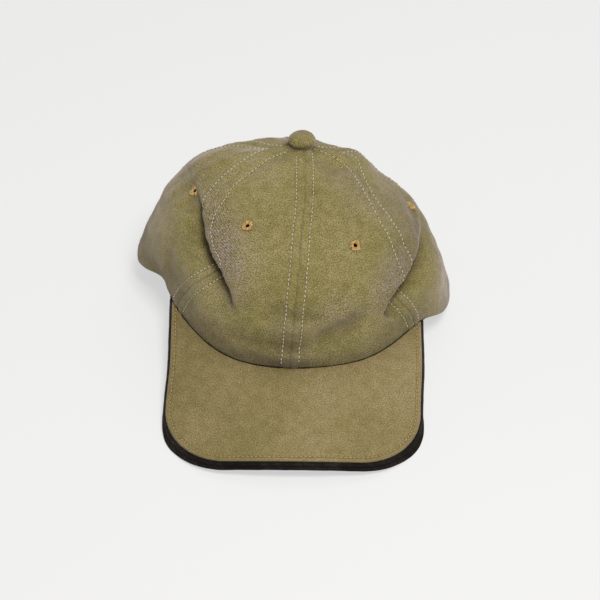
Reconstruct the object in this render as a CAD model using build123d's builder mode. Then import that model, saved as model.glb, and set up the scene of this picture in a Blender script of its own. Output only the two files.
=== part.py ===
"""Six-panel cloth cap with a curved sandwich visor, resting on its visor corners and back rim.

Millimetres, +Z up, the visor points to -Y and +X is the wearer's left.
Everything is built in the cap's own frame, where the rim of the crown lies in the plane z = 0
and the button stands on the Z axis.  At the end the whole cap is tilted to its resting pose and
moved so that the origin is the bottom centre of its bounding box.
"""

from build123d import *
from math import asin, atan2, cos, degrees, radians, sin, sqrt
import os

# ---------------------------------------------------------------- crown
crown_half_width = 105.0
crown_front_depth = 103.0
crown_back_depth = 67.0
crown_height = 104.0
crown_fullness = 2.1
cloth = 1.0
seam_angles = (0.0, 50.0, 106.0, 180.0)
profile_steps = 12

# ---------------------------------------------------------------- seam tapes, inside the crown
tape_width = 12.0
tape_thickness = 0.6
tape_inner_radius = 14.0

# ---------------------------------------------------------------- embroidered eyelets
eyelet_diameter = 8.5
eyelet_hole = 2.4
eyelet_neck = 5.2
eyelet_raise = 0.5
eyelet_angles = (24.0, 79.0, 140.0)
eyelet_heights = (74.0, 76.0, 76.0)

# ---------------------------------------------------------------- button
button_diameter = 17.5
button_height = 6.0
button_cover_thickness = 0.9
button_stem_diameter = 3.0
button_washer_diameter = 13.0
button_washer_thickness = 1.0
stem_clearance = 0.1

# ---------------------------------------------------------------- visor
visor_half_width = 84.0
visor_length = 73.0
visor_front_radius = 500.0
visor_corner_radius = 45.0
visor_arch_radius = 225.0
visor_slope = 25.0
board_thickness = 2.2
cover_thickness = 0.9
board_inset = 2.5
sandwich_thickness = 1.6
sandwich_reach = 3.5
under_cover_reach = 0.8

# ---------------------------------------------------------------- sweatband
sweatband_height = 30.0
sweatband_thickness = 1.3
sweatband_lift = 0.7
sweatband_gap = 0.4
sweatband_arch_gap = 3.0

# ---------------------------------------------------------------- back arch and its binding
arch_half_width = 44.0
arch_spring_height = 8.0
binding_width = 6.0
binding_thickness = 0.6

# ---------------------------------------------------------------- strap
strap_width = 18.0
strap_thickness = 1.2
strap_centre_height = 14.0
strap_reach = 73.0
strap_tail_reach = 50.0
strap_gap = 0.5
strap_travel = 25.0

# ---------------------------------------------------------------- buckle
buckle_arch_clearance = 18.0
buckle_offset = arch_half_width - buckle_arch_clearance
buckle_length = 14.0
buckle_wall = 1.5
buckle_plate = 1.0
buckle_gap = 0.6
bar_diameter = 1.6
bar_overhang = 2.5
pin_diameter = 1.6
pin_clearance = 0.1
pin_rise = 2.2
lever_thickness = 1.0
lever_length = 11.0
lever_side_gap = 0.3
barrel_wall = 0.8
tab_height = 13.0
tab_thickness = 2.0
tab_reach = 24.0
tab_end_wall = 1.6

# ---------------------------------------------------------------- construction allowances
skirt = 6.0
far = 300.0


def rim_y(x):
    """The Y of the front rim's outer edge at a distance x from the middle."""
    return -crown_front_depth * sqrt(1 - (x / crown_half_width) ** 2)


def narrowing(height, top):
    """How much narrower the crown is at a height than at its rim."""
    return (1 - (height / top) ** crown_fullness) ** (1 / crown_fullness)


def dome(outset, back_outset=None):
    """Solid dome, the crown's outer form moved outwards by outset all over, in two half shells."""
    if back_outset is None:
        back_outset = outset
    radius = crown_half_width + outset
    top = crown_height + outset
    angles = [90.0 * step / profile_steps for step in range(profile_steps + 1)]
    power = 2 / crown_fullness
    points = [(radius * max(cos(radians(a)), 0) ** power, top * sin(radians(a)) ** power) for a in angles]
    halves = []
    for turn, depth in ((-180, crown_front_depth + outset), (180, crown_back_depth + back_outset)):
        with BuildPart() as half:
            with BuildSketch(Plane.XZ):
                with BuildLine():
                    Spline(points, tangents=[(0, 1), (-1, 0)])
                    Polyline(points[-1], (0, -skirt), (radius, -skirt), points[0])
                make_face()
            revolve(axis=Axis.Z, revolution_arc=turn)
            scale(by=(1, depth / radius, 1))
        halves.append(half.part)
    return halves[0].fuse(halves[1])


def wedge(start, end):
    """Upright wedge about the Z axis between two plan angles, measured from the front."""
    middle = (start + end) / 2
    corners = [(far * sin(radians(a)), -far * cos(radians(a))) for a in (start, middle, end)]
    with BuildPart() as block:
        with BuildSketch(Plane.XY.offset(-far)):
            with BuildLine():
                Polyline((0, 0), *corners, close=True)
            make_face()
        extrude(amount=2 * far)
    return block.part


def arch(grow):
    """The back arch as a solid that runs through the back panels, its outline moved out by grow."""
    with BuildPart() as tunnel:
        with BuildSketch(Plane.XZ.offset(-crown_back_depth / 3)):
            with Locations((0, arch_spring_height)):
                Circle(arch_half_width + grow)
            with Locations((0, (arch_spring_height - skirt) / 2)):
                Rectangle(2 * (arch_half_width + grow), arch_spring_height + skirt)
        extrude(amount=-far)
    return tunnel.part


# ---------------------------------------------------------------- visor frame
top_offset = board_thickness / 2 + cover_thickness
slope = radians(visor_slope)
junction_y = rim_y(visor_half_width)


def arch_drop(x, radius):
    """How far a cylinder of this radius falls away at a distance x from its crest."""
    return radius - sqrt(radius ** 2 - x ** 2)


def visor_origin_height():
    """Height of the visor's middle layer at the front rim, so its top meets the rim at the ends."""
    drop = arch_drop(visor_half_width, visor_arch_radius + top_offset) - top_offset
    run = (junction_y + crown_front_depth - drop * sin(slope)) / cos(slope)
    return drop * cos(slope) - run * sin(slope)


visor_plane = Plane(
    origin=(0, -crown_front_depth, visor_origin_height()),
    x_dir=(1, 0, 0),
    z_dir=(0, -sin(slope), cos(slope)),
)
arch_plane = Plane(
    origin=visor_plane.from_local_coords((0, 0, -visor_arch_radius)),
    x_dir=(1, 0, 0),
    z_dir=visor_plane.y_dir,
)
corner_x = visor_half_width - visor_corner_radius
corner_y = sqrt((visor_front_radius - visor_corner_radius) ** 2 - corner_x ** 2)
corner_turn = degrees(atan2(corner_x, corner_y))
front_centre_y = visor_front_radius - visor_length


def visor_outline(grow):
    """The visor's plan outline, moved outwards by grow, as a sketch."""
    side_x = visor_half_width + grow
    corner = (corner_x, front_centre_y - corner_y)
    with BuildSketch() as outline:
        with BuildLine():
            CenterArc((0, front_centre_y), visor_front_radius + grow, 270 - corner_turn, 2 * corner_turn)
            CenterArc(corner, visor_corner_radius + grow, 270 + corner_turn, 90 - corner_turn)
            CenterArc((-corner[0], corner[1]), visor_corner_radius + grow, 180, 90 - corner_turn)
            Polyline(
                (side_x, corner[1]),
                (side_x, crown_front_depth),
                (-side_x, crown_front_depth),
                (-side_x, corner[1]),
            )
        make_face()
    return outline.sketch


def under_arch(offset):
    """Everything below the visor's arched surface at this offset from its middle layer."""
    with BuildPart() as log:
        with BuildSketch(arch_plane):
            Circle(visor_arch_radius + offset)
        extrude(amount=far, both=True)
    return log.part


def visor_sheet(grow, low, high):
    """A curved sheet with the visor's outline between two offsets, cut off at the crown's inner face."""
    outline = visor_outline(grow)
    above = under_arch(high)
    below = under_arch(low)
    with BuildPart() as sheet:
        with BuildSketch(visor_plane):
            add(outline)
        extrude(amount=far / 4, both=True)
        add(above, mode=Mode.INTERSECT)
        add(below, mode=Mode.SUBTRACT)
        with BuildSketch(Plane.XY):
            Ellipse(crown_half_width - cloth, crown_front_depth - cloth)
        extrude(amount=far / 2, both=True, mode=Mode.SUBTRACT)
    return sheet.part


# ---------------------------------------------------------------- crown panels
outer_dome = dome(0)
inner_dome = dome(-cloth)
stem_hole = button_stem_diameter / 2 + stem_clearance

with BuildPart() as below_rim:
    with BuildSketch(Plane.XY):
        with Locations((0, junction_y + far / 2)):
            Rectangle(2 * far, far)
    extrude(amount=-far)


def visor_room(grow, offset):
    """The room that the visor takes below one of its surfaces, for the crown's rim to stand on."""
    outline = visor_outline(grow)
    below = under_arch(offset)
    with BuildPart() as room:
        with BuildSketch(visor_plane):
            add(outline)
        extrude(amount=far / 4, both=True)
        add(below, mode=Mode.INTERSECT)
    return room.part


cover_room = visor_room(0, top_offset)
sandwich_room = visor_room(sandwich_reach, sandwich_thickness / 2)

with BuildPart() as shell:
    add(outer_dome)
    add(inner_dome, mode=Mode.SUBTRACT)
    add(below_rim.part, mode=Mode.SUBTRACT)
    add(cover_room, mode=Mode.SUBTRACT)
    add(sandwich_room, mode=Mode.SUBTRACT)
    add(arch(0), mode=Mode.SUBTRACT)
    with BuildSketch(Plane.XY):
        Circle(stem_hole)
    extrude(amount=far, mode=Mode.SUBTRACT)


def eyelet_axis(angle, height):
    """Plane square to the crown at a plan angle and a height, with its Z pointing outwards."""
    depth = crown_front_depth if angle < 90 else crown_back_depth
    width_here = narrowing(height, crown_height)
    plan = 1 / sqrt((sin(radians(angle)) / crown_half_width) ** 2 + (cos(radians(angle)) / depth) ** 2)
    x = plan * width_here * sin(radians(angle))
    y = -plan * width_here * cos(radians(angle))
    power = crown_fullness - 1
    spread = sqrt((x / crown_half_width) ** 2 + (y / depth) ** 2)
    across = spread ** (crown_fullness - 2)
    normal = (
        across * x / crown_half_width ** 2,
        across * y / depth ** 2,
        (height / crown_height) ** power / crown_height,
    )
    return Plane(origin=(x, y, height), x_dir=(-y, x, 0), z_dir=normal)


def cylinder_on(plane, diameter):
    """Cylinder of this diameter through the cloth, square to it."""
    with BuildPart() as peg:
        with BuildSketch(plane.offset(-10 * cloth)):
            Circle(diameter / 2)
        extrude(amount=20 * cloth)
    return peg.part


panel_names = ("front_panel", "side_panel", "back_panel")
panels = {}
for index, name in enumerate(panel_names):
    hole_plane = eyelet_axis(eyelet_angles[index], eyelet_heights[index])
    with BuildPart() as panel:
        add(shell.part)
        add(wedge(seam_angles[index], seam_angles[index + 1]), mode=Mode.INTERSECT)
        add(cylinder_on(hole_plane, eyelet_neck), mode=Mode.SUBTRACT)
    panels[name + "_left"] = panel.part
    with BuildPart() as mirrored_panel:
        add(panel.part)
        mirror(about=Plane.YZ, mode=Mode.REPLACE)
    panels[name + "_right"] = mirrored_panel.part

# ---------------------------------------------------------------- eyelets
eyelet_skin = dome(eyelet_raise)
eyelet_lining = dome(-cloth - eyelet_raise)
eyelets = {}
for index, name in enumerate(("front", "side", "back")):
    hole_plane = eyelet_axis(eyelet_angles[index], eyelet_heights[index])
    with BuildPart() as eyelet:
        add(cylinder_on(hole_plane, eyelet_diameter))
        add(eyelet_skin, mode=Mode.INTERSECT)
        add(eyelet_lining, mode=Mode.SUBTRACT)
        add(cylinder_on(hole_plane, eyelet_hole), mode=Mode.SUBTRACT)
        add(panels[name + "_panel_left"], mode=Mode.SUBTRACT)
    eyelets["eyelet_" + name + "_left"] = eyelet.part
    with BuildPart() as mirrored_eyelet:
        add(eyelet.part)
        mirror(about=Plane.YZ, mode=Mode.REPLACE)
    eyelets["eyelet_" + name + "_right"] = mirrored_eyelet.part

# ---------------------------------------------------------------- seam tapes
tape_names = {
    0.0: "seam_tape_front",
    seam_angles[1]: "seam_tape_front_left",
    seam_angles[2]: "seam_tape_back_left",
    180.0: "seam_tape_back",
    -seam_angles[2]: "seam_tape_back_right",
    -seam_angles[1]: "seam_tape_front_right",
}
tape_lining = dome(-cloth - tape_thickness)
tape_foot = sweatband_lift + sweatband_height + tape_thickness
tapes = {}
for angle, name in tape_names.items():
    seam_plane = Plane(origin=(0, 0, tape_foot), x_dir=(sin(radians(angle)), -cos(radians(angle)), 0), z_dir=(0, 0, 1))
    with BuildPart() as tape:
        with BuildSketch(seam_plane):
            with Locations((tape_inner_radius + far / 4, 0)):
                Rectangle(far / 2, tape_width)
        extrude(amount=far)
        add(inner_dome, mode=Mode.INTERSECT)
        add(tape_lining, mode=Mode.SUBTRACT)
        if angle == 180.0:
            add(arch(binding_width + binding_thickness), mode=Mode.SUBTRACT)
    tapes[name] = tape.part

# ---------------------------------------------------------------- button
button_radius = button_diameter / 2
core_radius = button_radius - button_cover_thickness
core_height = button_height - button_cover_thickness


def button_profile(radius, height):
    """Half section of a domed disc that stands on the crown's top, as a sketch."""
    foot = crown_height - skirt / 4
    shoulder = crown_height + height / 3
    with BuildSketch() as section:
        with BuildLine():
            Polyline((0, crown_height + height), (0, foot), (radius, foot), (radius, shoulder))
            Spline([(radius, shoulder), (0, crown_height + height)], tangents=[(0, 1), (-1, 0)])
        make_face()
    return section.sketch


core_profile = button_profile(core_radius, core_height)
cover_profile = button_profile(button_radius, button_height)

with BuildPart() as button_core:
    with BuildSketch(Plane.XZ):
        add(core_profile)
    revolve(axis=Axis.Z)
    add(outer_dome, mode=Mode.SUBTRACT)
    with BuildSketch(Plane.XY):
        Circle(stem_hole)
    extrude(amount=crown_height + core_height / 2, mode=Mode.SUBTRACT)

with BuildPart() as button_cover:
    with BuildSketch(Plane.XZ):
        add(cover_profile)
    revolve(axis=Axis.Z)
    with BuildSketch(Plane.XZ):
        add(core_profile)
    revolve(axis=Axis.Z, mode=Mode.SUBTRACT)
    add(outer_dome, mode=Mode.SUBTRACT)

with BuildPart() as button_rivet:
    with BuildSketch(Plane.XY.offset(crown_height - cloth - button_washer_thickness)):
        Circle(button_washer_diameter / 2)
    extrude(amount=cloth + button_washer_thickness)
    add(inner_dome, mode=Mode.INTERSECT)
    with BuildSketch(Plane.XY.offset(crown_height - cloth - button_washer_thickness)):
        Circle(button_stem_diameter / 2)
    extrude(amount=cloth + button_washer_thickness + core_height / 2)

# ---------------------------------------------------------------- visor
board_half = board_thickness / 2
sandwich_half = sandwich_thickness / 2

visor_board = visor_sheet(-board_inset, -board_half, board_half)

with BuildPart() as visor_top_cover:
    add(visor_sheet(0, sandwich_half, top_offset))
    add(visor_board, mode=Mode.SUBTRACT)

with BuildPart() as visor_under_cover:
    add(visor_sheet(under_cover_reach, -top_offset, -sandwich_half))
    add(visor_board, mode=Mode.SUBTRACT)

with BuildPart() as visor_sandwich:
    add(visor_sheet(sandwich_reach, -sandwich_half, sandwich_half))
    add(visor_board, mode=Mode.SUBTRACT)

# ---------------------------------------------------------------- strap, an arc about an upright axis
strap_top = strap_centre_height + strap_width / 2
strap_foot = strap_centre_height - strap_width / 2
narrow_here = narrowing(strap_top, crown_height - cloth)
pocket_half_width = (crown_half_width - cloth) * narrow_here - strap_gap
pocket_depth = (crown_back_depth - cloth - binding_thickness) * narrow_here - strap_gap
strap_limit = strap_tail_reach + strap_travel
strap_sag = pocket_depth * (1 - sqrt(1 - (strap_limit / pocket_half_width) ** 2))
strap_radius = (strap_limit ** 2 + strap_sag ** 2) / (2 * strap_sag)
strap_centre_y = pocket_depth - strap_radius
root_angle = degrees(asin(strap_reach / strap_radius))
tail_angle = degrees(asin(strap_tail_reach / strap_radius))

with BuildPart() as adjuster_strap:
    with BuildSketch(Plane.XY.offset(strap_foot)):
        with BuildLine():
            start = 90 - tail_angle
            sweep_angle = root_angle + tail_angle
            outer_arc = CenterArc((0, strap_centre_y), strap_radius, start, sweep_angle)
            inner_arc = CenterArc((0, strap_centre_y), strap_radius - strap_thickness, start, sweep_angle)
            Line(outer_arc @ 0, inner_arc @ 0)
            Line(outer_arc @ 1, inner_arc @ 1)
        make_face()
    extrude(amount=strap_width)

# ---------------------------------------------------------------- sweatband
band_outset = -cloth - sweatband_gap
band_half_width = crown_half_width + band_outset


def band_depth_at(x):
    """Back depth of the sweatband whose outer face just clears the strap at a distance x."""
    strap_y = strap_centre_y + sqrt((strap_radius - strap_thickness) ** 2 - x ** 2)
    return (strap_y - strap_gap) / sqrt(1 - (x / band_half_width) ** 2)


band_back_outset = min(band_depth_at(arch_half_width), band_depth_at(strap_limit)) - crown_back_depth

with BuildPart() as sweatband:
    add(dome(band_outset, band_back_outset))
    add(dome(band_outset - sweatband_thickness, band_back_outset - sweatband_thickness), mode=Mode.SUBTRACT)
    with BuildSketch(Plane.XY.offset(sweatband_lift)):
        Rectangle(far, far)
    extrude(amount=sweatband_height, mode=Mode.INTERSECT)
    with BuildSketch(Plane.XY):
        with Locations((0, crown_back_depth)):
            Rectangle(2 * (arch_half_width + sweatband_arch_gap), crown_back_depth)
    extrude(amount=far, mode=Mode.SUBTRACT)

# ---------------------------------------------------------------- arch binding
with BuildPart() as arch_binding:
    add(dome(binding_thickness))
    add(dome(-cloth - binding_thickness), mode=Mode.SUBTRACT)
    add(below_rim.part, mode=Mode.SUBTRACT)
    add(arch(binding_width), mode=Mode.INTERSECT)
    add(arch(-binding_thickness), mode=Mode.SUBTRACT)
    add(panels["back_panel_left"], mode=Mode.SUBTRACT)
    add(panels["back_panel_right"], mode=Mode.SUBTRACT)

# ---------------------------------------------------------------- buckle, square to the strap
buckle_turn = asin(buckle_offset / strap_radius)
buckle_base = Plane(
    origin=(buckle_offset, strap_centre_y + strap_radius * cos(buckle_turn), strap_centre_height),
    x_dir=(cos(buckle_turn), -sin(buckle_turn), 0),
    z_dir=(0, 0, 1),
)
channel_height = strap_width + 2 * buckle_gap
frame_height = channel_height + 2 * buckle_wall
plate_face = -strap_thickness - buckle_gap
frame_back = plate_face - buckle_plate
half_length = buckle_length / 2
pin_x = half_length - buckle_wall
pin_radius = pin_diameter / 2
bar_radius = bar_diameter / 2
frame_front = pin_rise + pin_radius + buckle_plate
bar_x = half_length + bar_overhang
bar_y = frame_front - buckle_plate

with BuildPart() as buckle_frame:
    with BuildSketch(buckle_base.offset(-frame_height / 2)):
        with BuildLine():
            Polyline(
                (-half_length, frame_back),
                (half_length, frame_back),
                (bar_x + bar_diameter, bar_y - bar_diameter),
                (bar_x + bar_diameter, frame_front),
                (pin_x - 2 * pin_diameter, frame_front),
                (-half_length, frame_front / 2),
                close=True,
            )
        make_face()
    extrude(amount=frame_height)
    with BuildSketch(buckle_base.offset(-channel_height / 2)):
        with Locations((0, plate_face + far / 2)):
            Rectangle(far, far)
    extrude(amount=channel_height, mode=Mode.SUBTRACT)
    with BuildSketch(buckle_base.offset(-channel_height / 2)):
        with Locations((bar_x, bar_y)):
            Circle(bar_radius)
    extrude(amount=channel_height)
    with BuildSketch(buckle_base.offset(-frame_height / 2)):
        with Locations((pin_x, pin_rise)):
            Circle(pin_radius)
    extrude(amount=frame_height, mode=Mode.SUBTRACT)

with BuildPart() as buckle_pin:
    with BuildSketch(buckle_base.offset(-frame_height / 2)):
        with Locations((pin_x, pin_rise)):
            Circle(pin_radius)
    extrude(amount=frame_height)

lever_height = channel_height - 2 * lever_side_gap
barrel_radius = pin_radius + pin_clearance + barrel_wall
with BuildPart() as buckle_lever:
    with BuildSketch(buckle_base.offset(-lever_height / 2)):
        with Locations((pin_x, pin_rise)):
            Circle(barrel_radius)
        with Locations((pin_x - lever_length / 2, pin_rise + barrel_radius - lever_thickness / 2)):
            Rectangle(lever_length, lever_thickness)
        with Locations((pin_x, pin_rise)):
            Circle(pin_radius + pin_clearance, mode=Mode.SUBTRACT)
    extrude(amount=lever_height)

bar_spot = buckle_base.from_local_coords((bar_x, bar_y, 0))
with BuildPart() as buckle_tab:
    with BuildSketch(Plane.XZ.offset(-bar_spot.Y / 2)):
        with Locations((bar_spot.X - tab_end_wall + tab_reach / 2, strap_centre_height)):
            RectangleRounded(tab_reach, tab_height, tab_end_wall)
    extrude(amount=-far)
    add(dome(tab_thickness), mode=Mode.INTERSECT)
    add(inner_dome, mode=Mode.SUBTRACT)
    add(panels["back_panel_left"], mode=Mode.SUBTRACT)
    add(arch_binding.part, mode=Mode.SUBTRACT)
    with BuildSketch(buckle_base.offset(-channel_height / 2)):
        with Locations((bar_x, bar_y)):
            Circle(bar_radius)
    extrude(amount=channel_height, mode=Mode.SUBTRACT)

# ---------------------------------------------------------------- resting pose
pieces = {
    **panels,
    **tapes,
    **eyelets,
    "button_core": button_core.part,
    "button_cover": button_cover.part,
    "button_rivet": button_rivet.part,
    "visor_board": visor_board,
    "visor_top_cover": visor_top_cover.part,
    "visor_under_cover": visor_under_cover.part,
    "visor_sandwich": visor_sandwich.part,
    "sweatband": sweatband.part,
    "arch_binding": arch_binding.part,
    "adjuster_strap": adjuster_strap.part,
    "buckle_frame": buckle_frame.part,
    "buckle_pin": buckle_pin.part,
    "buckle_lever": buckle_lever.part,
    "buckle_tab": buckle_tab.part,
}


def lowest(names, tilt):
    """Lowest point of the named pieces when the cap is tilted with its visor up by tilt degrees."""
    return min((Rot(-tilt, 0, 0) * pieces[name]).bounding_box().min.Z for name in names)


def resting_tilt():
    """Tilt at which the visor and the back rim stand on the table together."""
    low, high = 0.0, visor_slope
    while high - low > 0.005:
        tilt = (low + high) / 2
        if lowest(["visor_sandwich", "visor_under_cover"], tilt) < lowest(["back_panel_left"], tilt):
            low = tilt
        else:
            high = tilt
    return (low + high) / 2


tilted = {name: Rot(-resting_tilt(), 0, 0) * piece for name, piece in pieces.items()}
box = Compound(list(tilted.values())).bounding_box()
to_origin = Pos(-box.center().X, -box.center().Y, -box.min.Z)

os.makedirs("parts", exist_ok=True)
for name, piece in tilted.items():
    placed = to_origin * piece
    placed.label = name
    export_step(placed, "parts/" + name + ".step")
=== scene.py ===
"""The looks of a soft six-panel cap with a black-edged sandwich visor.

Shapes are worked out in millimetres in the cap's own frame, where the rim of the crown lies in
the plane z = 0, and to_row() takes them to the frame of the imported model, in metres.  A place on
the crown is an angle round it, in degrees from the front towards the wearer's left (+X), and a
rise s along the cloth, from 0 at the rim to 1 at the button.
"""
from math import atan2, cos, degrees, pi, radians, sin, sqrt

import bpy
import numpy as np
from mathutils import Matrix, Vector


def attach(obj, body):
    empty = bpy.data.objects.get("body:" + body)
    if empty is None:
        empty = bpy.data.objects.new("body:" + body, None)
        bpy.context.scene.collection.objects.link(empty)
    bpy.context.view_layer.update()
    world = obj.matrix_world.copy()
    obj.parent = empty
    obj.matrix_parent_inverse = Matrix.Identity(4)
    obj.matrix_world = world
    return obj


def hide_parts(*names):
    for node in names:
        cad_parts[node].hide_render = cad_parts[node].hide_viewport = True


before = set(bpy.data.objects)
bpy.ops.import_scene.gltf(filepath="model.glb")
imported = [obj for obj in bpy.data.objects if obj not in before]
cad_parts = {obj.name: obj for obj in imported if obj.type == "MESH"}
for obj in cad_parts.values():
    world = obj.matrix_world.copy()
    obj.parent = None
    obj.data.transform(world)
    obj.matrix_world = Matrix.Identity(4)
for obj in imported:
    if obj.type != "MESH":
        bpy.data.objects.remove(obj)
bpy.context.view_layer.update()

MM = 0.001
random = np.random.default_rng(7)

# ------------------------------------------------------------------ sizes shared with the frame
HALF_WIDTH = 105.0
FRONT_DEPTH = 103.0
BACK_DEPTH = 67.0
CROWN_HEIGHT = 104.0
FULLNESS = 2.1
CLOTH = 1.0
TILT = radians(11.03)
RIM_CENTRE = np.array([0.0, 53.48, 11.79])
VISOR_HALF_WIDTH = 84.0
VISOR_LENGTH = 68.5  # as it is seen, a little shorter than its solid
VISOR_FRONT_RADIUS = 500.0
VISOR_CORNER_RADIUS = 45.0
VISOR_ARCH_RADIUS = 225.0
VISOR_ARCH_REACH = 120.0
VISOR_SLOPE = radians(25.0)
VISOR_ORIGIN = np.array([0.0, -FRONT_DEPTH, -3.64])
COVER_OFFSET = 2.0
SWEATBAND_HEIGHT = 30.0
ARCH_HALF_WIDTH = 44.0
ARCH_SPRING = 8.0
STRAP_RADIUS = 145.58
STRAP_CENTRE_Y = -82.03
STRAP_CENTRE_HEIGHT = 14.0
STRAP_WIDTH = 18.0
STRAP_THICKNESS = 1.2
STRAP_REACH = 73.0
STRAP_TAIL = 50.0


def to_row(points):
    """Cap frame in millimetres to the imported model's frame in metres."""
    x, y, z = np.moveaxis(np.asarray(points, float), -1, 0)
    turned = np.stack([x, y * cos(TILT) + z * sin(TILT), -y * sin(TILT) + z * cos(TILT)], -1)
    return (turned + RIM_CENTRE) * MM


def unit(vectors):
    """The vectors at length one."""
    return vectors / np.maximum(np.linalg.norm(vectors, axis=-1, keepdims=True), 1e-9)


def full_turn(count):
    """Angles spaced evenly round a full turn."""
    return np.linspace(0, 2 * pi, count + 1)[:-1]


def run_along(points):
    """Length of a path up to each of its points."""
    return np.concatenate([[0], np.cumsum(np.linalg.norm(np.diff(points, axis=0), axis=1))])


def smooth(x):
    """Smooth step from 0 to 1 as x goes from 0 to 1."""
    x = np.clip(x, 0, 1)
    return x * x * (3 - 2 * x)


def curve(table, x):
    """A smooth curve through the (x, value) rows of a table."""
    table = np.asarray(table, float)
    dense = np.linspace(table[0, 0], table[-1, 0], 200)
    values = np.interp(dense, table[:, 0], table[:, 1])
    kernel = np.hanning(19)
    padded = np.pad(values, 9, mode="edge")
    return np.interp(x, dense, np.convolve(padded, kernel / kernel.sum(), "valid"))


# ------------------------------------------------------------------ crown surface
def profile_table():
    """Arc share, narrowing and height share along the crown's upright section."""
    w = np.linspace(0, pi / 2, 600)
    narrow = np.clip(np.cos(w), 0, 1) ** (2 / FULLNESS)
    rise = np.sin(w) ** (2 / FULLNESS)
    steps = np.hypot(np.diff(narrow) * HALF_WIDTH, np.diff(rise) * CROWN_HEIGHT)
    run = np.concatenate([[0], np.cumsum(steps)])
    return run / run[-1], narrow, rise, run[-1]


ARC, NARROW, RISE, ARC_LENGTH = profile_table()


def plan_radius(angle):
    """Distance from the crown's upright axis to its rim, at an angle in degrees."""
    a = np.radians(angle)
    depth = np.where(np.cos(a) > 0, FRONT_DEPTH, BACK_DEPTH)
    return 1 / np.sqrt((np.sin(a) / HALF_WIDTH) ** 2 + (np.cos(a) / depth) ** 2)


def plain_crown(angle, s):
    """The crown with no slump or folds; below the rim it goes straight down."""
    reach = plan_radius(angle) * np.interp(s, ARC, NARROW)
    a = np.radians(angle)
    z = np.interp(s, ARC, RISE) * CROWN_HEIGHT + np.minimum(s, 0) * ARC_LENGTH
    return np.stack([reach * np.sin(a), -reach * np.cos(a), z + 0 * a], -1)


def gap(angle, centre):
    """Signed angle from centre to angle, in degrees, the short way round."""
    return (angle - centre + 180) % 360 - 180


# Each settled place: its angle and s, its spread in angle and in s, and the push in x, y, z.
SLUMP = [
    (-57, 0.00, 22, 0.30, (0, 20, 9.3)),
    (-90, 0.02, 12, 0.09, (-4.5, 1, 2)),
    (-70, 0.00, 12, 0.12, (7, 0, 5)),
    (58, 0.84, 22, 0.11, (-1, 0, -3.5)),
    (-60, 0.84, 22, 0.11, (1.5, 0, -2.5)),
    (-98, 0.00, 30, 0.34, (-1.5, 13, 8)),
    (52, 0.00, 17, 0.20, (0, 9, 4.4)),
    (96, 0.00, 28, 0.34, (-2, -15, -4.5)),
    (-96, 0.62, 45, 0.28, (-9, 0, 5)),
    (90, 0.60, 45, 0.24, (-7, 0, -3)),
    (110, 0.80, 40, 0.16, (12, 0, 1)),
    (132, 0.88, 38, 0.13, (1, -4, -7)),
    (-128, 0.88, 38, 0.13, (2, -3, -7)),
    (100, 0.02, 14, 0.10, (4.5, 0, -1)),
    (180, 0.75, 60, 0.25, (-3, 2, 3)),
    (0, 1.00, 400, 0.15, (4, 4, 4)),
]


def give(angle, s):
    """How freely the cloth moves: not at all low at the back, where the closure holds it."""
    back = smooth((np.abs(gap(angle, 0)) - 108) / 24)
    return 1 - back * (1 - smooth((s - 0.18) / 0.22))


def slumped(angle, s):
    """The crown as it has settled, before its folds."""
    p = plain_crown(angle, s)
    free = give(angle, s)
    for centre, height, angle_spread, s_spread, push in SLUMP:
        weight = np.exp(-(gap(angle, centre) / angle_spread) ** 2 - ((s - height) / s_spread) ** 2)
        p = p + (weight * free)[..., None] * np.array(push, float)
    return p


def frame_at(surface, angle, s):
    """Point, unit vector round the crown, unit vector up the cloth and outward normal."""
    p = surface(angle, s)
    around = surface(angle + 0.25, s) - surface(angle - 0.25, s)
    up = surface(angle, s + 0.0015) - surface(angle, s - 0.0015)
    return p, unit(around), unit(up), unit(np.cross(around, up))


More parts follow.
